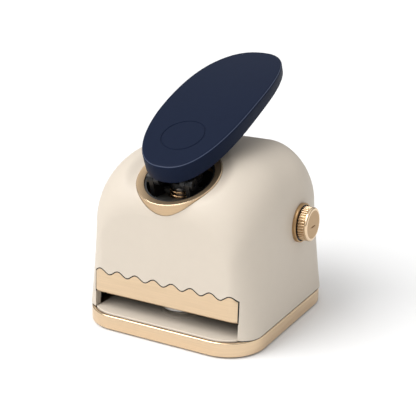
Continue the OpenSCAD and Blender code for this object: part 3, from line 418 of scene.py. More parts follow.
def finish_group(name, pattern):
    """A group that shades its colour and roughness by a broad and a fine pattern."""
    tree, start, end = node_group(name, FINISH_INPUTS, FINISH_OUTPUTS)
    broad, fine = pattern(tree, start.outputs["Vector"], start.outputs["Scale"])
    tone = shaded(tree, start.outputs["Colour"], start.outputs["Shade"], broad)
    tree.links.new(tone, end.inputs["Colour"])
    swing = maths(tree, "MULTIPLY", start.outputs["Spread"], maths(tree, "SUBTRACT", fine, 0.5))
    tree.links.new(maths(tree, "ADD", start.outputs["Roughness"], swing), end.inputs["Roughness"])
    tree.links.new(fine, end.inputs["Height"])
    return tree


def grain_pattern(tree, vector, scale):
    """Soft blotches and a fine grain."""
    broad = noise(tree, vector, maths(tree, "MULTIPLY", scale, 0.06), 2.0)
    fine = noise(tree, vector, scale, 3.0)
    return broad, fine


def brushed_pattern(tree, vector, scale):
    """Level brush lines, long in the plane and close together in height."""
    stretch = tree.nodes.new("ShaderNodeVectorMath")
    stretch.operation = "MULTIPLY"
    stretch.inputs[1].default_value = (0.02, 0.02, 1.0)
    tree.links.new(vector, stretch.inputs[0])
    lines = noise(tree, stretch.outputs[0], scale, 4.0)
    return lines, lines


def turned_pattern(tree, vector, scale):
    """Fine lines round the Z axis, as a lathe leaves them."""
    flat = tree.nodes.new("ShaderNodeVectorMath")
    flat.operation = "MULTIPLY"
    flat.inputs[1].default_value = (1.0, 1.0, 0.0)
    tree.links.new(vector, flat.inputs[0])
    length = tree.nodes.new("ShaderNodeVectorMath")
    length.operation = "LENGTH"
    tree.links.new(flat.outputs[0], length.inputs[0])
    parts = tree.nodes.new("ShaderNodeSeparateXYZ")
    tree.links.new(vector, parts.inputs[0])
    place = tree.nodes.new("ShaderNodeCombineXYZ")
    tree.links.new(length.outputs["Value"], place.inputs["X"])
    tree.links.new(parts.outputs["Z"], place.inputs["Y"])
    tree.links.new(maths(tree, "MULTIPLY", parts.outputs["X"], 0.02), place.inputs["Z"])
    lines = noise(tree, place.outputs[0], scale, 4.0)
    return lines, lines


def finish(name, group, colour, metallic=0.0, roughness=0.4, shade=0.1, scale=1.0, spread=0.1, bump=0.02,
           place=(0, 0, 0), turn=(0, 0, 0), specular=0.5):
    """A material whose colour, roughness and relief come from a pattern group, centred on a place in mm."""
    material = bpy.data.materials.new(name)
    material.use_nodes = True
    tree = material.node_tree
    shader = tree.nodes["Principled BSDF"]
    where = tree.nodes.new("ShaderNodeTexCoord")
    centre = tree.nodes.new("ShaderNodeMapping")
    centre.vector_type = "TEXTURE"
    centre.inputs["Location"].default_value = Vector(place) * MM
    centre.inputs["Rotation"].default_value = turn
    centre.inputs["Scale"].default_value = (MM, MM, MM)
    tree.links.new(where.outputs["Object"], centre.inputs["Vector"])
    pattern = tree.nodes.new("ShaderNodeGroup")
    pattern.node_tree = group
    tree.links.new(centre.outputs[0], pattern.inputs["Vector"])
    pattern.inputs["Colour"].default_value = (*colour, 1)
    pattern.inputs["Shade"].default_value = shade
    pattern.inputs["Scale"].default_value = scale
    pattern.inputs["Roughness"].default_value = roughness
    pattern.inputs["Spread"].default_value = spread
    relief = tree.nodes.new("ShaderNodeBump")
    relief.inputs["Strength"].default_value = 0.5
    relief.inputs["Distance"].default_value = bump * MM
    tree.links.new(pattern.outputs["Height"], relief.inputs["Height"])
    tree.links.new(pattern.outputs["Colour"], shader.inputs["Base Color"])
    tree.links.new(pattern.outputs["Roughness"], shader.inputs["Roughness"])
    tree.links.new(relief.outputs["Normal"], shader.inputs["Normal"])
    shader.inputs["Metallic"].default_value = metallic
    shader.inputs["Specular IOR Level"].default_value = specular
    material.diffuse_color = (*colour, 1)
    return material


def make_finishes(colours):
    """Every finish of the press, by name."""
    grain = finish_group("Fine grain", grain_pattern)
    brushed = finish_group("Level brushing", brushed_pattern)
    turned = finish_group("Turned lines", turned_pattern)
    knob_turn = (0, math.pi / 2, 0)
    collar_turn = (COLLAR_TILT, 0, 0)
    plunger = (0, DIE_AT.y, 0)
    return {
        "cream": finish("cream_enamel", grain, colours.cream, 0, 0.55, 0.03, 4.0, 0.06, 0.008),
        "brass": finish("brushed_brass", brushed, colours.brass, 1, 0.36, 0.16, 3.0, 0.14, 0.012),
        "edge": finish("polished_brass", grain, colours.brass, 1, 0.16, 0.05, 2.0, 0.05, 0.004),
        "collar": finish("shaded_turned_brass", turned, colours.collar, 1, 0.48, 0.16, 3.0, 0.14, 0.012,
                         place=COLLAR_AT, turn=collar_turn),
        "knob": finish("shaded_knob_brass", turned, colours.knob, 1, 0.34, 0.10, 4.0, 0.08, 0.006,
                       place=KNOB_AT, turn=knob_turn),
        "navy": finish("navy_enamel", grain, colours.navy, 0, 0.5, 0.12, 5.0, 0.08, 0.014, specular=0.06),
        "edge_highlight": finish("edge_highlight_navy", grain, colours.edge_highlight, 0, 0.4, 0.2, 2.0, 0.08, 0.01, specular=0.2),
        "black": finish("black_plastic", grain, colours.black, 0, 0.5, 0.2, 3.0, 0.1, 0.02),
        "cup": finish("cup_plastic", grain, colours.cup, 0, 0.45, 0.2, 3.0, 0.1, 0.02),
        "iron": finish("dark_iron", grain, colours.iron, 0.6, 0.5, 0.3, 2.0, 0.16, 0.04),
        "blackened": finish("blackened_steel", grain, colours.black, 0.3, 0.42, 0.3, 2.5, 0.14, 0.015),
        "steel": finish("bright_steel", brushed, colours.steel, 1, 0.3, 0.14, 4.0, 0.12, 0.008),
        "die": finish("die_steel", turned, colours.steel, 1, 0.28, 0.14, 4.0, 0.1, 0.008, place=plunger),
        "bronze": finish("bearing_bronze", turned, colours.bronze, 1, 0.36, 0.2, 3.0, 0.14, 0.01,
                         place=plunger),
        "spring": finish("spring_brass", grain, colours.spring, 1, 0.24, 0.14, 3.0, 0.1, 0.006),
        "rubber": finish("black_rubber", grain, colours.rubber, 0, 0.78, 0.25, 5.0, 0.12, 0.03),
        "resin": finish("counter_resin", grain, colours.resin, 0, 0.5, 0.06, 4.0, 0.08, 0.01),
    }


FINISHES = {}

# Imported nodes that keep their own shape, by finish
KEPT_NODES = {
    "rubber": ["rubber_sole", "lever_bumper"],
    "black": ["well_liner"],
    "cup": ["spring_cup"],
    "iron": ["press_frame", "guide_post", "die_holder", "lever_arm"],
    "blackened": ["pivot_yoke", "pivot_screws", "plunger_cap"],
    "steel": ["deck_screws", "shell_screws", "frame_screws", "yoke_screws", "bearing_screws", "post_screws",
              "guide_rod", "arm_screws", "cam_dowel", "plunger_rod", "retaining_clip", "die_set_screw",
              "knob_shaft", "knob_grub_screw", "stop_carriage", "stop_fence", "fence_screws"],
    "die": ["upper_die"],
    "resin": ["lower_die"],
    "bronze": ["guide_bush", "shaft_bearing", "pinion"],
}


# Stage

CAMERA_AT = Vector((218.82, -383.02, 198.83))
CAMERA_AIM = Vector((-0.277, 0.642, 50.873))
CAMERA_LENS = 85.0
KEY_AT = Vector((-480, -560, 900))
FILL_AT = Vector((300, -900, 420))
FILL_SIZE = 600.0
LIGHT_AIM = Vector((0, 0, 45))
FLOOR_REACH = 6000.0
BACKDROP = 0.97


def look_at(thing, place, aim):
    thing.location = place * MM
    thing.rotation_euler = (aim - place).to_track_quat("-Z", "Y").to_euler()


def lamp(name, kind, place, strength):
    """A light that shines on the press from a place, and its settings."""
    light = bpy.data.lights.new(name, kind)
    light.energy = strength
    holder = bpy.data.objects.new(name, light)
    bpy.context.scene.collection.objects.link(holder)
    look_at(holder, place, LIGHT_AIM)
    return light


class PRESS_OT_stage(bpy.types.Operator):
    """Set up the camera, the soft light and the pale floor"""
    bl_idname = "press.stage"
    bl_label = "Stage"

    def execute(self, context):
        scene = context.scene
        lens = bpy.data.cameras.new("camera")
        lens.lens = CAMERA_LENS
        lens.sensor_width = 36.0
        lens.clip_end = 50.0
        camera = bpy.data.objects.new("camera", lens)
        scene.collection.objects.link(camera)
        look_at(camera, CAMERA_AT, CAMERA_AIM)
        scene.camera = camera
        scene.view_settings.view_transform = "Standard"
        key = lamp("key", "SUN", KEY_AT, scene.press_stage.key_strength)
        key.angle = scene.press_stage.key_spread
        fill = lamp("fill", "AREA", FILL_AT, scene.press_stage.fill_power)
        fill.shape = "DISK"
        fill.size = FILL_SIZE * MM
        world = bpy.data.worlds.new("sky")
        world.use_nodes = True
        tree = world.node_tree
        sky = tree.nodes["Background"]
        sky.inputs["Color"].default_value = (1, 1, 1, 1)
        way = tree.nodes.new("ShaderNodeTexCoord")
        parts = tree.nodes.new("ShaderNodeSeparateXYZ")
        rise = tree.nodes.new("ShaderNodeMapRange")
        rise.inputs["To Min"].default_value = scene.press_stage.horizon
        rise.inputs["To Max"].default_value = scene.press_stage.zenith
        tree.links.new(way.outputs["Generated"], parts.inputs[0])
        tree.links.new(parts.outputs["Z"], rise.inputs["Value"])
        rays = tree.nodes.new("ShaderNodeLightPath")
        seen = tree.nodes.new("ShaderNodeMix")
        seen.inputs["B"].default_value = BACKDROP
        tree.links.new(rays.outputs["Is Camera Ray"], seen.inputs["Factor"])
        tree.links.new(rise.outputs["Result"], seen.inputs["A"])
        tree.links.new(seen.outputs["Result"], sky.inputs["Strength"])
        scene.world = world
        pale = bpy.data.materials.new("pale_floor")
        pale.use_nodes = True
        shader = pale.node_tree.nodes["Principled BSDF"]
        shader.inputs["Base Color"].default_value = (*scene.press_colours.floor, 1)
        shader.inputs["Roughness"].default_value = 0.8
        shader.inputs["Specular IOR Level"].default_value = 0.1
        mesh = bpy.data.meshes.new("floor")
        reach = FLOOR_REACH * MM
        mesh.from_pydata([(-reach, -reach, 0), (reach, -reach, 0), (reach, reach, 0), (-reach, reach, 0)],
                         [], [(0, 1, 2, 3)])
        mesh.materials.append(pale)
        floor = bpy.data.objects.new("floor", mesh)
        scene.collection.objects.link(floor)
        return {"FINISHED"}


# Base and deck

def rounded_ring(half_w, half_d, r, inset, z, steps=20):
    """A ring of points round a plate with round corners, drawn in by the inset."""
    ring = []
    for k, (sx, sy) in enumerate(((1, 1), (-1, 1), (-1, -1), (1, -1))):
        for i in range(steps + 1):
            t = math.radians(90 * (k + i / steps))
            ring.append((sx * (half_w - r) + (r - inset) * math.cos(t),
                         sy * (half_d - r) + (r - inset) * math.sin(t), z))
    return ring


def deck_ring(grow, z, steps=24):
    """A ring of points round the deck: its front follows the edge of the base, its back is square."""
    half = DECK_HIGH.x + grow
    back = DECK_HIGH.y + grow
    r = BASE_R - (DECK_LOW.y - BASE_LOW.y) + grow
    centre = Vector((BASE_HIGH.x - BASE_R, BASE_LOW.y + BASE_R))
    meet = math.acos((half - centre.x) / r)
    turns = [mix(meet, math.pi / 2, i / steps) for i in range(steps + 1)]
    corner = [(centre.x + r * math.cos(t), centre.y - r * math.sin(t), z) for t in turns]
    return [(half, back, z), (-half, back, z)] + [(-x, y, z) for x, y, _ in corner] + corner[::-1]


class PRESS_OT_base(bpy.types.Operator):
    """Make the brass base with its polished edge, and the deck let into it"""
    bl_idname = "press.base"
    bl_label = "Base and deck"

    def execute(self, context):
        sizes = context.scene.press_sizes
        half_w, half_d, r = BASE_HIGH.x, BASE_HIGH.y, BASE_R
        low, top = BASE_LOW.z, BASE_HIGH.z
        edge = sizes.base_edge
        under = edge / 2
        levels = [(SOLE_INSET, SOLE_TOP), (SOLE_INSET, low)]
        levels += [(under * (1 - math.sin(a)), low + under * (1 - math.cos(a))) for a in UNDERCUT]
        levels += [(edge * (1 - math.cos(a)), top - edge + edge * math.sin(a)) for a in ROUNDING]
        rings = [rounded_ring(half_w, half_d, r, inset, z) for inset, z in levels]
        base = new_piece("brass_base", *loft(rings), [FINISHES["brass"], FINISHES["edge"]])
        paint(base, 1, lambda at, normal: top - edge < at.z < top and 0.1 < normal.z < 0.99)
        deep = [deck_ring(DECK_GAP, DECK_LOW.z), deck_ring(DECK_GAP, top + CUT_OVER)]
        # The pocket's walls keep the bronze finish of the cutter: a painted shadow in the groove round the
        # deck
        cutter = new_piece("deck_pocket", *loft(deep), [FINISHES["bronze"]])
        carve(base, [cutter])
        dress(base, "stand", "satin_brass", "base_plate")

        edge = sizes.deck_edge
        high = DECK_HIGH.z
        rings = [deck_ring(0, DECK_LOW.z)]
        rings += [deck_ring(-edge * (1 - math.cos(a)), high - edge + edge * math.sin(a)) for a in ROUNDING]
        deck = new_piece("cream_deck", *loft(rings), [FINISHES["cream"]])
        place = Matrix.Translation((0, DIE_AT.y, 0))
        die_r = (DIE_HIGH.x - DIE_LOW.x) / 2 + DIE_GAP
        wall = [(die_r, DIE_LOW.z), (die_r, high + CUT_OVER)]
        well = new_piece("die_well", *lathe(wall, place), [FINISHES["cream"]])
        carve(deck, [well])
        dress(deck, "stand", "cream_enamel", "paper_deck")
        return {"FINISHED"}


# Housing

def half_arch(inset, turn, crown, sides, arcs, flats):
    """Stations of the housing's outline from the foot up to the crown, as (x, z, depth of the rounding,
    tuck of the foot). The turn is 0 at the full outline and 1 at the flat front or back."""
    w = SHELL_HALF - inset
    h = SHELL_TOP - inset - crown[0] * turn
    r = SHOULDER_R - inset - SHOULDER_PINCH * turn
    flat = w - SIDE_ROUND[0] * turn - r
    foot = BASE_HIGH.z
    levels = [(foot + FOOT_FILLET * (1 - math.cos(a)), FOOT_FILLET * (1 - math.sin(a))) for a in FOOT_TUCKS]
    levels += [(mix(foot + FOOT_FILLET, h - r, i / sides), 0) for i in range(sides)]
    stations = []
    for z, tuck in levels:
        t = (z - foot) / (h - r - foot)
        x = w - mix(FOOT_ROUND[0], SIDE_ROUND[0], t) * turn
        stations.append((x, z, mix(FOOT_ROUND[1], SIDE_ROUND[1], t), 0 if inset else tuck))
    for i in range(arcs + 1):
        t = i / arcs
        a = math.pi / 2 * t
        depth = mix(SIDE_ROUND[1], crown[1], t * t * (3 - 2 * t))
        stations.append((flat + r * math.cos(a), h - r + r * math.sin(a), depth, 0))
    for i in range(1, flats + 1):
        stations.append((flat * (1 - i / flats), h, crown[1], 0))
    return stations


def dished(p, inset):
    """Sink a point of the housing so that it meets the collar without standing over it."""
    q = p - COLLAR_AT
    h = q.dot(COLLAR_AXIS)
    over = max(0.0, (q - h * COLLAR_AXIS).length - COLLAR_RO)
    d = h + DISH_DEPTH + inset - over * over / (2 * DISH_R)
    if d <= -DISH_BLEND:
        return p
    sunk = d if d >= DISH_BLEND else (d + DISH_BLEND) ** 2 / (4 * DISH_BLEND)
    return p - sunk * COLLAR_AXIS


def housing_skin(inset, sides=SIDE_ROWS, arcs=44, flats=14, turns=30):
    """Points of the housing's skin, a row of points at each station."""
    ways = [(-1, math.pi / 2 * (1 - j / turns)) for j in range(turns + 1)]
    ways += [(1, math.pi / 2 * j / turns) for j in range(turns + 1)]
    columns = []
    for end, turn in ways:
        crown = [n - inset for n in (FRONT_CROWN if end < 0 else BACK_CROWN)]
        column = []
        for x, z, depth, tuck in half_arch(inset, 1 - math.cos(turn), crown, sides, arcs, flats):
            y = end * (SHELL_REACH - inset - tuck - depth * (1 - math.sin(turn)))
            column.append(dished(Vector((x - tuck, y, z)), inset))
        columns.append(column + [Vector((-p.x, p.y, p.z)) for p in reversed(column[:-1])])
    return list(zip(*columns))


def skin_faces(start, stations, count, crown):
    """Faces of a skin: its grid, and its flat ends in level strips."""
    faces = []
    for i in range(stations - 1):
        for j in range(count - 1):
            a = start + i * count + j
            faces.append((a, a + 1, a + count + 1, a + count))
    for end in (0, count - 1):
        for i in range(crown):
            k = stations - 1 - i
            faces.append(tuple(start + n * count + end for n in (i, i + 1, k - 1, k)))
        faces.append(tuple(start + n * count + end for n in range(crown, stations - crown)))
    return faces


def front_y(x, z, inset):
    """Depth of the housing's front at a place on it, where the way up and the turn depend on each other."""
    foot = BASE_HIGH.z
    turn = 1.0
    for _ in range(5):
        top = SHELL_TOP - SHOULDER_R - (FRONT_CROWN[0] - inset - SHOULDER_PINCH) * turn
        t = (z - foot) / (top - foot)
        r, k = (mix(FOOT_ROUND[n], SIDE_ROUND[n], t) for n in (0, 1))
        c = max(0.0, (abs(x) - SHELL_HALF + inset + r) / r)
        turn = 1 - c
    return -SHELL_REACH + inset + k * (1 - math.sqrt(1 - c * c))


def wave_z(x):
    """Height of the fascia's wavy top edge."""
    turn = 2 * math.pi * x / SCALLOP_PITCH + math.pi * (SCALLOPS - 1)
    return FASCIA_TOP - SCALLOP_DEPTH / 2 * (1 - math.cos(turn))


def fascia_loop(margin, lip, y_of, columns=192, levels=6):
    """Outline of the fascia from the lower left round by the right, and the grid of its face, drawn in by
    a margin, and below by the lip."""
    half = FASCIA_HALF - margin
    xs = [mix(-half, half, i / columns) for i in range(columns + 1)]
    low = SLOT_TOP + margin + lip

    def high(x):
        slope = (wave_z(x + 0.05) - wave_z(x - 0.05)) / 0.1
        return wave_z(x) - margin * math.sqrt(1 + slope * slope)

    grid = [[(x, mix(low, high(x), k / levels)) for k in range(levels + 1)] for x in xs]
    loop = [column[0] for column in grid]
    loop += grid[-1][1:]
    loop += [column[-1] for column in reversed(grid[:-1])]
    loop += list(reversed(grid[0][1:-1]))
    return [(x, y_of(x, z), z) for x, z in loop], [[(x, y_of(x, z), z) for x, z in c] for c in grid]


def fascia_solid(margin, front, back, edge, lip=0.0):
    """Points and faces of a plate along the housing's front, with a bevelled face and a lip below."""
    def side_y(x, z):
        return front_y(x, z, 0) + front + (edge + lip if z < SLOT_TOP + margin + lip / 2 else edge)
    face_loop, face_grid = fascia_loop(margin + edge, lip, lambda x, z: front_y(x, z, 0) + front)
    side_loop, _ = fascia_loop(margin, 0, side_y)
    back_loop, back_grid = fascia_loop(margin, 0, lambda x, z: front_y(x, z, 0) + back)
    points, faces = loft([face_loop, side_loop, back_loop], caps=False)
    for grid in (face_grid, back_grid):
        start = len(points)
        count = len(grid[0])
        points += [p for column in grid for p in column]
        for i in range(len(grid) - 1):
            for k in range(count - 1):
                a = start + i * count + k
                faces.append((a, a + 1, a + count + 1, a + count))
    return points, faces


def merged(piece):
    """Join the points of the piece that lie on each other."""
    shell = bmesh.new()
    shell.from_mesh(piece.data)
    bmesh.ops.remove_doubles(shell, verts=shell.verts, dist=0.001 * MM)
    bmesh.ops.recalc_face_normals(shell, faces=shell.faces)
    shell.to_mesh(piece.data)
    shell.free()


class PRESS_OT_housing(bpy.types.Operator):
    """Make the domed housing with its paper slot, fascia recess and bores"""
    bl_idname = "press.housing"
    bl_label = "Housing"

    def execute(self, context):
        points = []
        faces = []
        loops = []
        for inset in (0.0, SHELL_WALL):
            rows = housing_skin(inset)
            count = len(rows[0])
            start = len(points)
            points += [p for row in rows for p in row]
            faces += skin_faces(start, len(rows), count, SIDE_ROWS + len(FOOT_TUCKS))
            last = start + (len(rows) - 1) * count
            loops.append([start + j for j in range(count)] + [last + j for j in range(count - 1, -1, -1)])
        outside, inside = loops
        for i in range(len(outside)):
            k = (i + 1) % len(outside)
            faces.append((outside[i], outside[k], inside[k], inside[i]))
        shell = new_piece("cream_housing", points, faces, [FINISHES["cream"], FINISHES["black"]])
        foot = BASE_HIGH.z
        # The inner skin and the foot fillet take the black finish: painted shade inside the housing and a
        # painted shadow line along its foot
        for face in shell.data.polygons:
            inside_wall = min(face.vertices) >= len(points) // 2
            if inside_wall or face.center.z < (foot + FOOT_FILLET) * MM:
                face.material_index = 1
        ahead, below, behind = SLOT_REACH
        slot = block("slot", (-SLOT_HALF, -SHELL_REACH - ahead, foot - below),
                     (SLOT_HALF, -SHELL_REACH + behind, SLOT_TOP), FINISHES["cream"])
        # The recess and the bore leave the black finish in their cuts: painted shade in the gaps round the
        # fascia and the collar
        plate = fascia_solid(-FASCIA_GAP, -RECESS_REACH, FASCIA_T + SEAT_GAP, RECESS_EDGE)
        recess = new_piece("recess", *plate, [FINISHES["black"]])
        merged(recess)
        place = Matrix.Translation(COLLAR_AT) @ Matrix.Rotation(COLLAR_TILT, 4, "X")
        wall = [(COLLAR_RO + BORE_GAP, h) for h in BORE_SPAN]
        bore = new_piece("bore", *lathe(wall, place, 160), [FINISHES["black"]])
        side = Matrix.Translation(KNOB_AT) @ Matrix.Rotation(math.pi / 2, 4, "Y")
        wall = [(KNOB_BUSH_R + SEAT_GAP, SHELL_HALF + h) for h in (-KNOB_HOLE_REACH, KNOB_HOLE_REACH)]
        hole = new_piece("hole", *lathe(wall, side, 64), [FINISHES["cream"]])
        carve(shell, [slot, recess, bore, hole])
        even = shell.modifiers.new("even", "WEIGHTED_NORMAL")
        even.keep_sharp = True
        settle(shell)
        dress(shell, "stand", "cream_enamel", "body_shell")
        return {"FINISHED"}


class PRESS_OT_fascia(bpy.types.Operator):
    """Make the brass fascia with its wavy top edge"""
    bl_idname = "press.fascia"
    bl_label = "Fascia"

    def execute(self, context):
        edge = context.scene.press_sizes.fascia_edge
        fascia = new_piece("wave_fascia", *fascia_solid(0, 0, FASCIA_T, edge, FASCIA_LIP),
                           [FINISHES["brass"], FINISHES["black"]])
        # The bevel and the sides of the plate that face up or sideways take the black finish: a painted
        # shadow line round the fascia
        count = len(fascia_loop(0, 0, lambda x, z: 0)[0])
        for face in fascia.data.polygons[:2 * count]:
            if face.normal.z > -0.3:
                face.material_index = 1
        merged(fascia)
        smooth(fascia, 35)
        dress(fascia, "stand", "satin_brass", "front_fascia")
        return {"FINISHED"}


class PRESS_OT_collar(bpy.types.Operator):
    """Make the turned brass collar round the well"""
    bl_idname = "press.collar"
    bl_label = "Collar"

    def execute(self, context):
        edge = context.scene.press_sizes.collar_edge
        profile = [(COLLAR_RI, -COLLAR_LEN), (COLLAR_RO, -COLLAR_LEN)]
        profile += arc((COLLAR_RO - edge, -edge), edge, 0, 75, 6)
        profile += arc((COLLAR_RI + 0.3, -1.2), 0.3, 105, 180, 5)
        place = Matrix.Translation(COLLAR_AT) @ Matrix.Rotation(COLLAR_TILT, 4, "X")
        collar = new_piece("brass_collar", *lathe(profile, place, 160, loop=True),
                           [FINISHES["collar"], FINISHES["edge"]], 30)

        def on_rim(at, normal):
            q = at - COLLAR_AT
            h = q.dot(COLLAR_AXIS)
            radius = (q - h * COLLAR_AXIS).length
            return h > -edge and radius > COLLAR_RO - edge
        paint(collar, 1, on_rim)
        dress(collar, "stand", "satin_brass", "collar_ring")
        return {"FINISHED"}


# Lever

def lever_edge(t, margin, share):
    """A point of the lever's outline, as (across, along)."""
    def power(v):
        return math.copysign(abs(v) ** (2 / LEVER_POWER), v)
    across = (LEVER_B - margin) * power(math.sin(t)) * share
    along = (LEVER_A - margin) * power(math.cos(t)) * share
    return across, along


def lever_top(v):
    return -LEVER_SAG * (v / LEVER_A) ** 2


def lever_thick(v):
    return mix(LEVER_T[0], LEVER_T[1], (v + LEVER_A) / (2 * LEVER_A))


class PRESS_OT_lever(bpy.types.Operator):
    """Make the palm lever with its rounded bevel and a plain sunk ring"""
    bl_idname = "press.lever"
    bl_label = "Lever"

    def execute(self, context):
        sizes = context.scene.press_sizes
        steps = 192
        bevel = sizes.lever_bevel
        under = [(s, 1.0, 0.0, False) for s in (0.02, 0.3, 0.65, 0.9, 1.0)]
        under += [(1.0, 1.0 - math.sin(math.radians(a)), 1.0 - math.cos(math.radians(a)), False)
                  for a in (18, 36, 54, 72, 90)]
        over = [(1.0, bevel * (1 - math.cos(a)), bevel * (1 - math.sin(a)), True)
                for a in map(math.radians, (0, 11, 22, 34, 45, 56, 68, 79, 90))]
        over += [(s, bevel, 0.0, True) for s in (0.97, 0.88, 0.75, 0.6, 0.45, 0.3, 0.15, 0.02)]
        place = Matrix.Translation(LEVER_AT) @ Matrix.Rotation(LEVER_TILT, 4, "X")
        rings = []
        for share, margin, drop, top in under + over:
            ring = []
            for i in range(steps):
                u, v = lever_edge(2 * math.pi * i / steps, margin, share)
                level = lever_top(v) - drop if top else lever_top(v) - lever_thick(v) + drop
                ring.append(place @ Vector((u, v, level)))
            rings.append(ring)
        lever = new_piece("navy_lever", *loft(rings), [FINISHES["navy"], FINISHES["edge_highlight"]], 50)
        # Two rows of the bevel take the paler navy: a painted highlight along the top edge of the lever
        edge_highlight = len(under) + 3
        for face in lever.data.polygons[edge_highlight * steps:(edge_highlight + 2) * steps]:
            face.material_index = 1
        half, width, depth = sizes.ring_radius, sizes.ring_width, sizes.ring_depth
        inner, outer = half - width / 2, half + width / 2
        profile = [(inner, GROOVE_TOP), (outer, GROOVE_TOP), (outer, 0)]
        profile += [(half + width / 4, -depth), (half - width / 4, -depth), (inner, 0)]
        groove = []
        for radius, level in profile:
            ring = []
            for i in range(GROOVE_STEPS):
                t = 2 * math.pi * i / GROOVE_STEPS
                u, v = radius * math.cos(t), sizes.ring_place + radius * math.sin(t)
                ring.append(place @ Vector((u, v, lever_top(v) + level)))
            groove.append(ring)
        sunk = new_piece("sunk_ring", *loft(groove, loop=True), [FINISHES["navy"]])
        half, front, back = ARM_POCKET
        levels = (ARM_PLATE_TOP - POCKET_REACH, ARM_PLATE_TOP)
        corners = [(x, y, z) for x in (-half, half) for y in (front, back) for z in levels]
        pocket = block("arm_pocket", corners[0], corners[-1], FINISHES["navy"])
        for vertex, corner in zip(pocket.data.vertices, corners):
            vertex.co = (place @ Vector(corner)) * MM
        carve(lever, [sunk, pocket], 50)
        dress(lever, "lever", "navy_enamel", "lever_paddle")
        return {"FINISHED"}


# Knob and spring: what repeats comes from geometry nodes

def geometry_tree(name, inputs):
    """An empty geometry tree with inputs given as (name, type), and its input and output nodes."""
    tree = bpy.data.node_groups.new(name, "GeometryNodeTree")
    ids = {}
    for label, kind in inputs:
        ids[label] = tree.interface.new_socket(label, in_out="INPUT", socket_type=kind).identifier
    tree.interface.new_socket("Geometry", in_out="OUTPUT", socket_type="NodeSocketGeometry")
    return tree, tree.nodes.new("NodeGroupInput"), tree.nodes.new("NodeGroupOutput"), ids


def chain(tree, *nodes):
    """Link the geometry of each node to the next."""
    for first, second in zip(nodes, nodes[1:]):
        tree.links.new(first.outputs[0], second.inputs[0])


def grown(name, tree, values):
    """A plain mesh piece from a geometry tree, with inputs given by identifier."""
    piece = bpy.data.objects.new(name, bpy.data.meshes.new(name))
    bpy.context.scene.collection.objects.link(piece)
    growth = piece.modifiers.new("growth", "NODES")
    growth.node_group = tree
    for key, value in values.items():
        growth[key] = value
    settle(piece)
    return piece


def rib_tree(material):
    """Round ribs on a circle about the Z axis, turned and put in place."""
    tree, start, end, ids = geometry_tree("Knob ribs", [
        ("Ribs", "NodeSocketInt"), ("Circle", "NodeSocketFloat"), ("Rib radius", "NodeSocketFloat"),
        ("Rib length", "NodeSocketFloat"), ("Place", "NodeSocketVector"), ("Turn", "NodeSocketVector")])
    circle = tree.nodes.new("GeometryNodeMeshCircle")
    tree.links.new(start.outputs["Ribs"], circle.inputs["Vertices"])
    tree.links.new(start.outputs["Circle"], circle.inputs["Radius"])
    rib = tree.nodes.new("GeometryNodeMeshCylinder")
    rib.inputs["Vertices"].default_value = 14
    tree.links.new(start.outputs["Rib radius"], rib.inputs["Radius"])
    tree.links.new(start.outputs["Rib length"], rib.inputs["Depth"])
    spread = tree.nodes.new("GeometryNodeInstanceOnPoints")
    tree.links.new(rib.outputs["Mesh"], spread.inputs["Instance"])
    put = tree.nodes.new("GeometryNodeTransform")
    real = tree.nodes.new("GeometryNodeRealizeInstances")
    wear = tree.nodes.new("GeometryNodeSetMaterial")
    wear.inputs["Material"].default_value = material
    chain(tree, circle, spread, put, real, wear, end)
    tree.links.new(start.outputs["Place"], put.inputs["Translation"])
    tree.links.new(start.outputs["Turn"], put.inputs["Rotation"])
    return tree, ids


def spring_tree(material):
    """A wire wound round the Z axis and put in place."""
    tree, start, end, ids = geometry_tree("Return spring", [
        ("Turns", "NodeSocketFloat"), ("Mean radius", "NodeSocketFloat"), ("Rise", "NodeSocketFloat"),
        ("Wire radius", "NodeSocketFloat"), ("Place", "NodeSocketVector")])
    spiral = tree.nodes.new("GeometryNodeCurveSpiral")
    spiral.inputs["Resolution"].default_value = 40
    tree.links.new(start.outputs["Turns"], spiral.inputs["Rotations"])
    tree.links.new(start.outputs["Mean radius"], spiral.inputs["Start Radius"])
    tree.links.new(start.outputs["Mean radius"], spiral.inputs["End Radius"])
    tree.links.new(start.outputs["Rise"], spiral.inputs["Height"])
    wire = tree.nodes.new("GeometryNodeCurvePrimitiveCircle")
    wire.inputs["Resolution"].default_value = 18
    tree.links.new(start.outputs["Wire radius"], wire.inputs["Radius"])
    sweep = tree.nodes.new("GeometryNodeCurveToMesh")
    sweep.inputs["Fill Caps"].default_value = True
    put = tree.nodes.new("GeometryNodeTransform")
    real = tree.nodes.new("GeometryNodeRealizeInstances")
    wear = tree.nodes.new("GeometryNodeSetMaterial")
    wear.inputs["Material"].default_value = material
    chain(tree, spiral, sweep, put, real, wear, end)
    tree.links.new(wire.outputs["Curve"], sweep.inputs["Profile Curve"])
    tree.links.new(start.outputs["Place"], put.inputs["Translation"])
    return tree, ids


def join_meshes(piece, other):
    """Add the other piece's mesh to the piece and remove the other."""
    shell = bmesh.new()
    shell.from_mesh(piece.data)
    shell.from_mesh(other.data)
    shell.to_mesh(piece.data)
    shell.free()
    mesh = other.data
    bpy.data.objects.remove(other)
    bpy.data.meshes.remove(mesh)


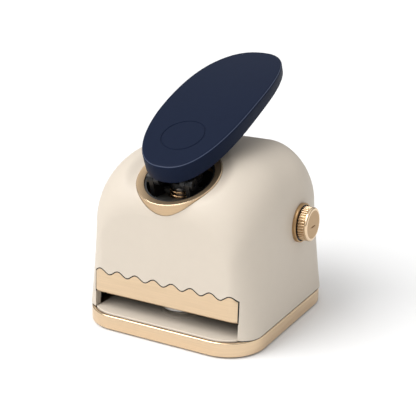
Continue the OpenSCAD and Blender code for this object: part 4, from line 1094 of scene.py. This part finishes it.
class PRESS_OT_knob(bpy.types.Operator):
    """Make the ribbed knob, its chamfer, its tick and the cupped ring behind it"""
    bl_idname = "press.knob"
    bl_label = "Knob"

    def execute(self, context):
        place = Matrix.Translation(KNOB_AT) @ Matrix.Rotation(math.pi / 2, 4, "Y")
        outer, cup, thick, deep = KNOB_RING
        seat = SHELL_HALF
        rim = seat + thick
        inner = seat - KNOB_BUSH_LEN
        profile = [(KNOB_BORE_R, inner), (KNOB_BUSH_R, inner), (KNOB_BUSH_R, seat), (outer, seat)]
        profile += arc((outer - 0.35, rim - 0.35), 0.35, 0, 90, 5)
        profile += arc((cup + 0.15, rim - 0.15), 0.15, 90, 180, 3)
        profile += [(cup, rim - deep), (KNOB_BORE_R, rim - deep)]
        ring = new_piece("knob_cup", *lathe(profile, place, 128, loop=True),
                         [FINISHES["knob"], FINISHES["black"]], 30)

        # The floor and wall of the cup take the black finish: painted shade in the gap round the knob
        def in_shaded_cup(at, normal):
            radius = math.hypot(at.y - KNOB_AT.y, at.z - KNOB_AT.z)
            return at.x > seat + 0.2 and at.x < rim - 0.05 and radius < cup + 0.05
        paint(ring, 1, in_shaded_cup)
        dress(ring, "stand", "satin_brass", "knob_ring")

        base, face = KNOB_LOW.x, KNOB_HIGH.x
        r = KNOB_HIGH.y - KNOB_AT.y
        core = r - RIB_R
        profile = [(0.05, base), (core, base), (core, base + KNOB_GRIP)]
        profile += arc((r - 0.2, base + KNOB_GRIP + 0.2), 0.2, -90, 0, 3)
        profile += arc((r - 0.75, face - 0.75), 0.75, 0, 70, 7)
        profile += [(r - 1.3, face), (r - 1.5, face), (3.0, face), (0.05, face)]
        knob = new_piece("ribbed_knob", *lathe(profile, place, 160),
                         [FINISHES["knob"], FINISHES["edge"]], 25)

        def on_chamfer(at, normal):
            return base + KNOB_GRIP < at.x < face - 0.002
        paint(knob, 1, on_chamfer)
        tick = block("tick", (face - TICK_DEEP, KNOB_AT.y - TICK_HALF, KNOB_AT.z + TICK_SPAN[0]),
                     (face + 1, KNOB_AT.y + TICK_HALF, KNOB_AT.z + TICK_SPAN[1]), FINISHES["knob"])
        carve(knob, [tick], 25)
        tree, ids = rib_tree(FINISHES["knob"])
        ribs = grown("knob_ribs", tree, {
            ids["Ribs"]: context.scene.press_sizes.knob_ribs,
            ids["Circle"]: core * MM,
            ids["Rib radius"]: RIB_R * MM,
            ids["Rib length"]: KNOB_GRIP * MM,
            ids["Place"]: Vector((base + KNOB_GRIP / 2, KNOB_AT.y, KNOB_AT.z)) * MM,
            ids["Turn"]: (0.0, math.pi / 2, 0.0),
        })
        join_meshes(knob, ribs)
        smooth(knob, 25)
        dress(knob, "side_knob", "satin_brass", "knob")
        return {"FINISHED"}


class PRESS_OT_spring(bpy.types.Operator):
    """Wind the return spring under the cap of the plunger"""
    bl_idname = "press.spring"
    bl_label = "Return spring"

    def execute(self, context):
        sizes = context.scene.press_sizes
        wire = sizes.wire
        length = SPRING_HIGH.z - SPRING_LOW.z
        mean_r = SPRING_HIGH.x - wire / 2
        tree, ids = spring_tree(FINISHES["spring"])
        spring = grown("brass_spring", tree, {
            ids["Turns"]: float(sizes.spring_turns),
            ids["Mean radius"]: mean_r * MM,
            ids["Rise"]: (length - wire) * MM,
            ids["Wire radius"]: wire / 2 * MM,
            ids["Place"]: Vector((0, DIE_AT.y, SPRING_LOW.z + wire / 2)) * MM,
        })
        smooth(spring, 50)
        dress(spring, "stand", "spring_brass", "return_spring")
        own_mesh(spring)
        return {"FINISHED"}


class PRESS_OT_works(bpy.types.Operator):
    """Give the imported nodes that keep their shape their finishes"""
    bl_idname = "press.works"
    bl_label = "Inner works"

    def execute(self, context):
        for name, nodes in KEPT_NODES.items():
            for node in nodes:
                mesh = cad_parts[node].data
                mesh.materials.clear()
                mesh.materials.append(FINISHES[name])
        return {"FINISHED"}


STEPS = (PRESS_OT_stage, PRESS_OT_base, PRESS_OT_housing, PRESS_OT_fascia, PRESS_OT_collar, PRESS_OT_lever,
         PRESS_OT_knob, PRESS_OT_spring, PRESS_OT_works)


class PRESS_PT_panel(bpy.types.Panel):
    """Sizes, colours and steps of the press"""
    bl_idname = "PRESS_PT_panel"
    bl_label = "Embossing press"
    bl_space_type = "VIEW_3D"
    bl_region_type = "UI"
    bl_category = "Press"

    def draw(self, context):
        layout = self.layout
        for group in (context.scene.press_sizes, context.scene.press_colours, context.scene.press_stage):
            for name in group.__annotations__:
                layout.prop(group, name)
        for step in STEPS:
            layout.operator(step.bl_idname)


GROUPS = {"press_sizes": PressSizes, "press_colours": PressColours, "press_stage": PressStage}
CLASSES = (*GROUPS.values(), *STEPS, PRESS_PT_panel)


def register():
    for cls in CLASSES:
        bpy.utils.register_class(cls)
    for name, group in GROUPS.items():
        setattr(bpy.types.Scene, name, PointerProperty(type=group))


def unregister():
    for name in GROUPS:
        delattr(bpy.types.Scene, name)
    for cls in reversed(CLASSES):
        bpy.utils.unregister_class(cls)


def main():
    register()
    FINISHES.update(make_finishes(bpy.context.scene.press_colours))
    bpy.ops.press.stage()
    bpy.ops.press.base()
    bpy.ops.press.housing()
    bpy.ops.press.fascia()
    bpy.ops.press.collar()
    bpy.ops.press.lever()
    bpy.ops.press.knob()
    bpy.ops.press.spring()
    bpy.ops.press.works()
    bpy.context.view_layer.update()


if __name__ == "__main__":
    main()
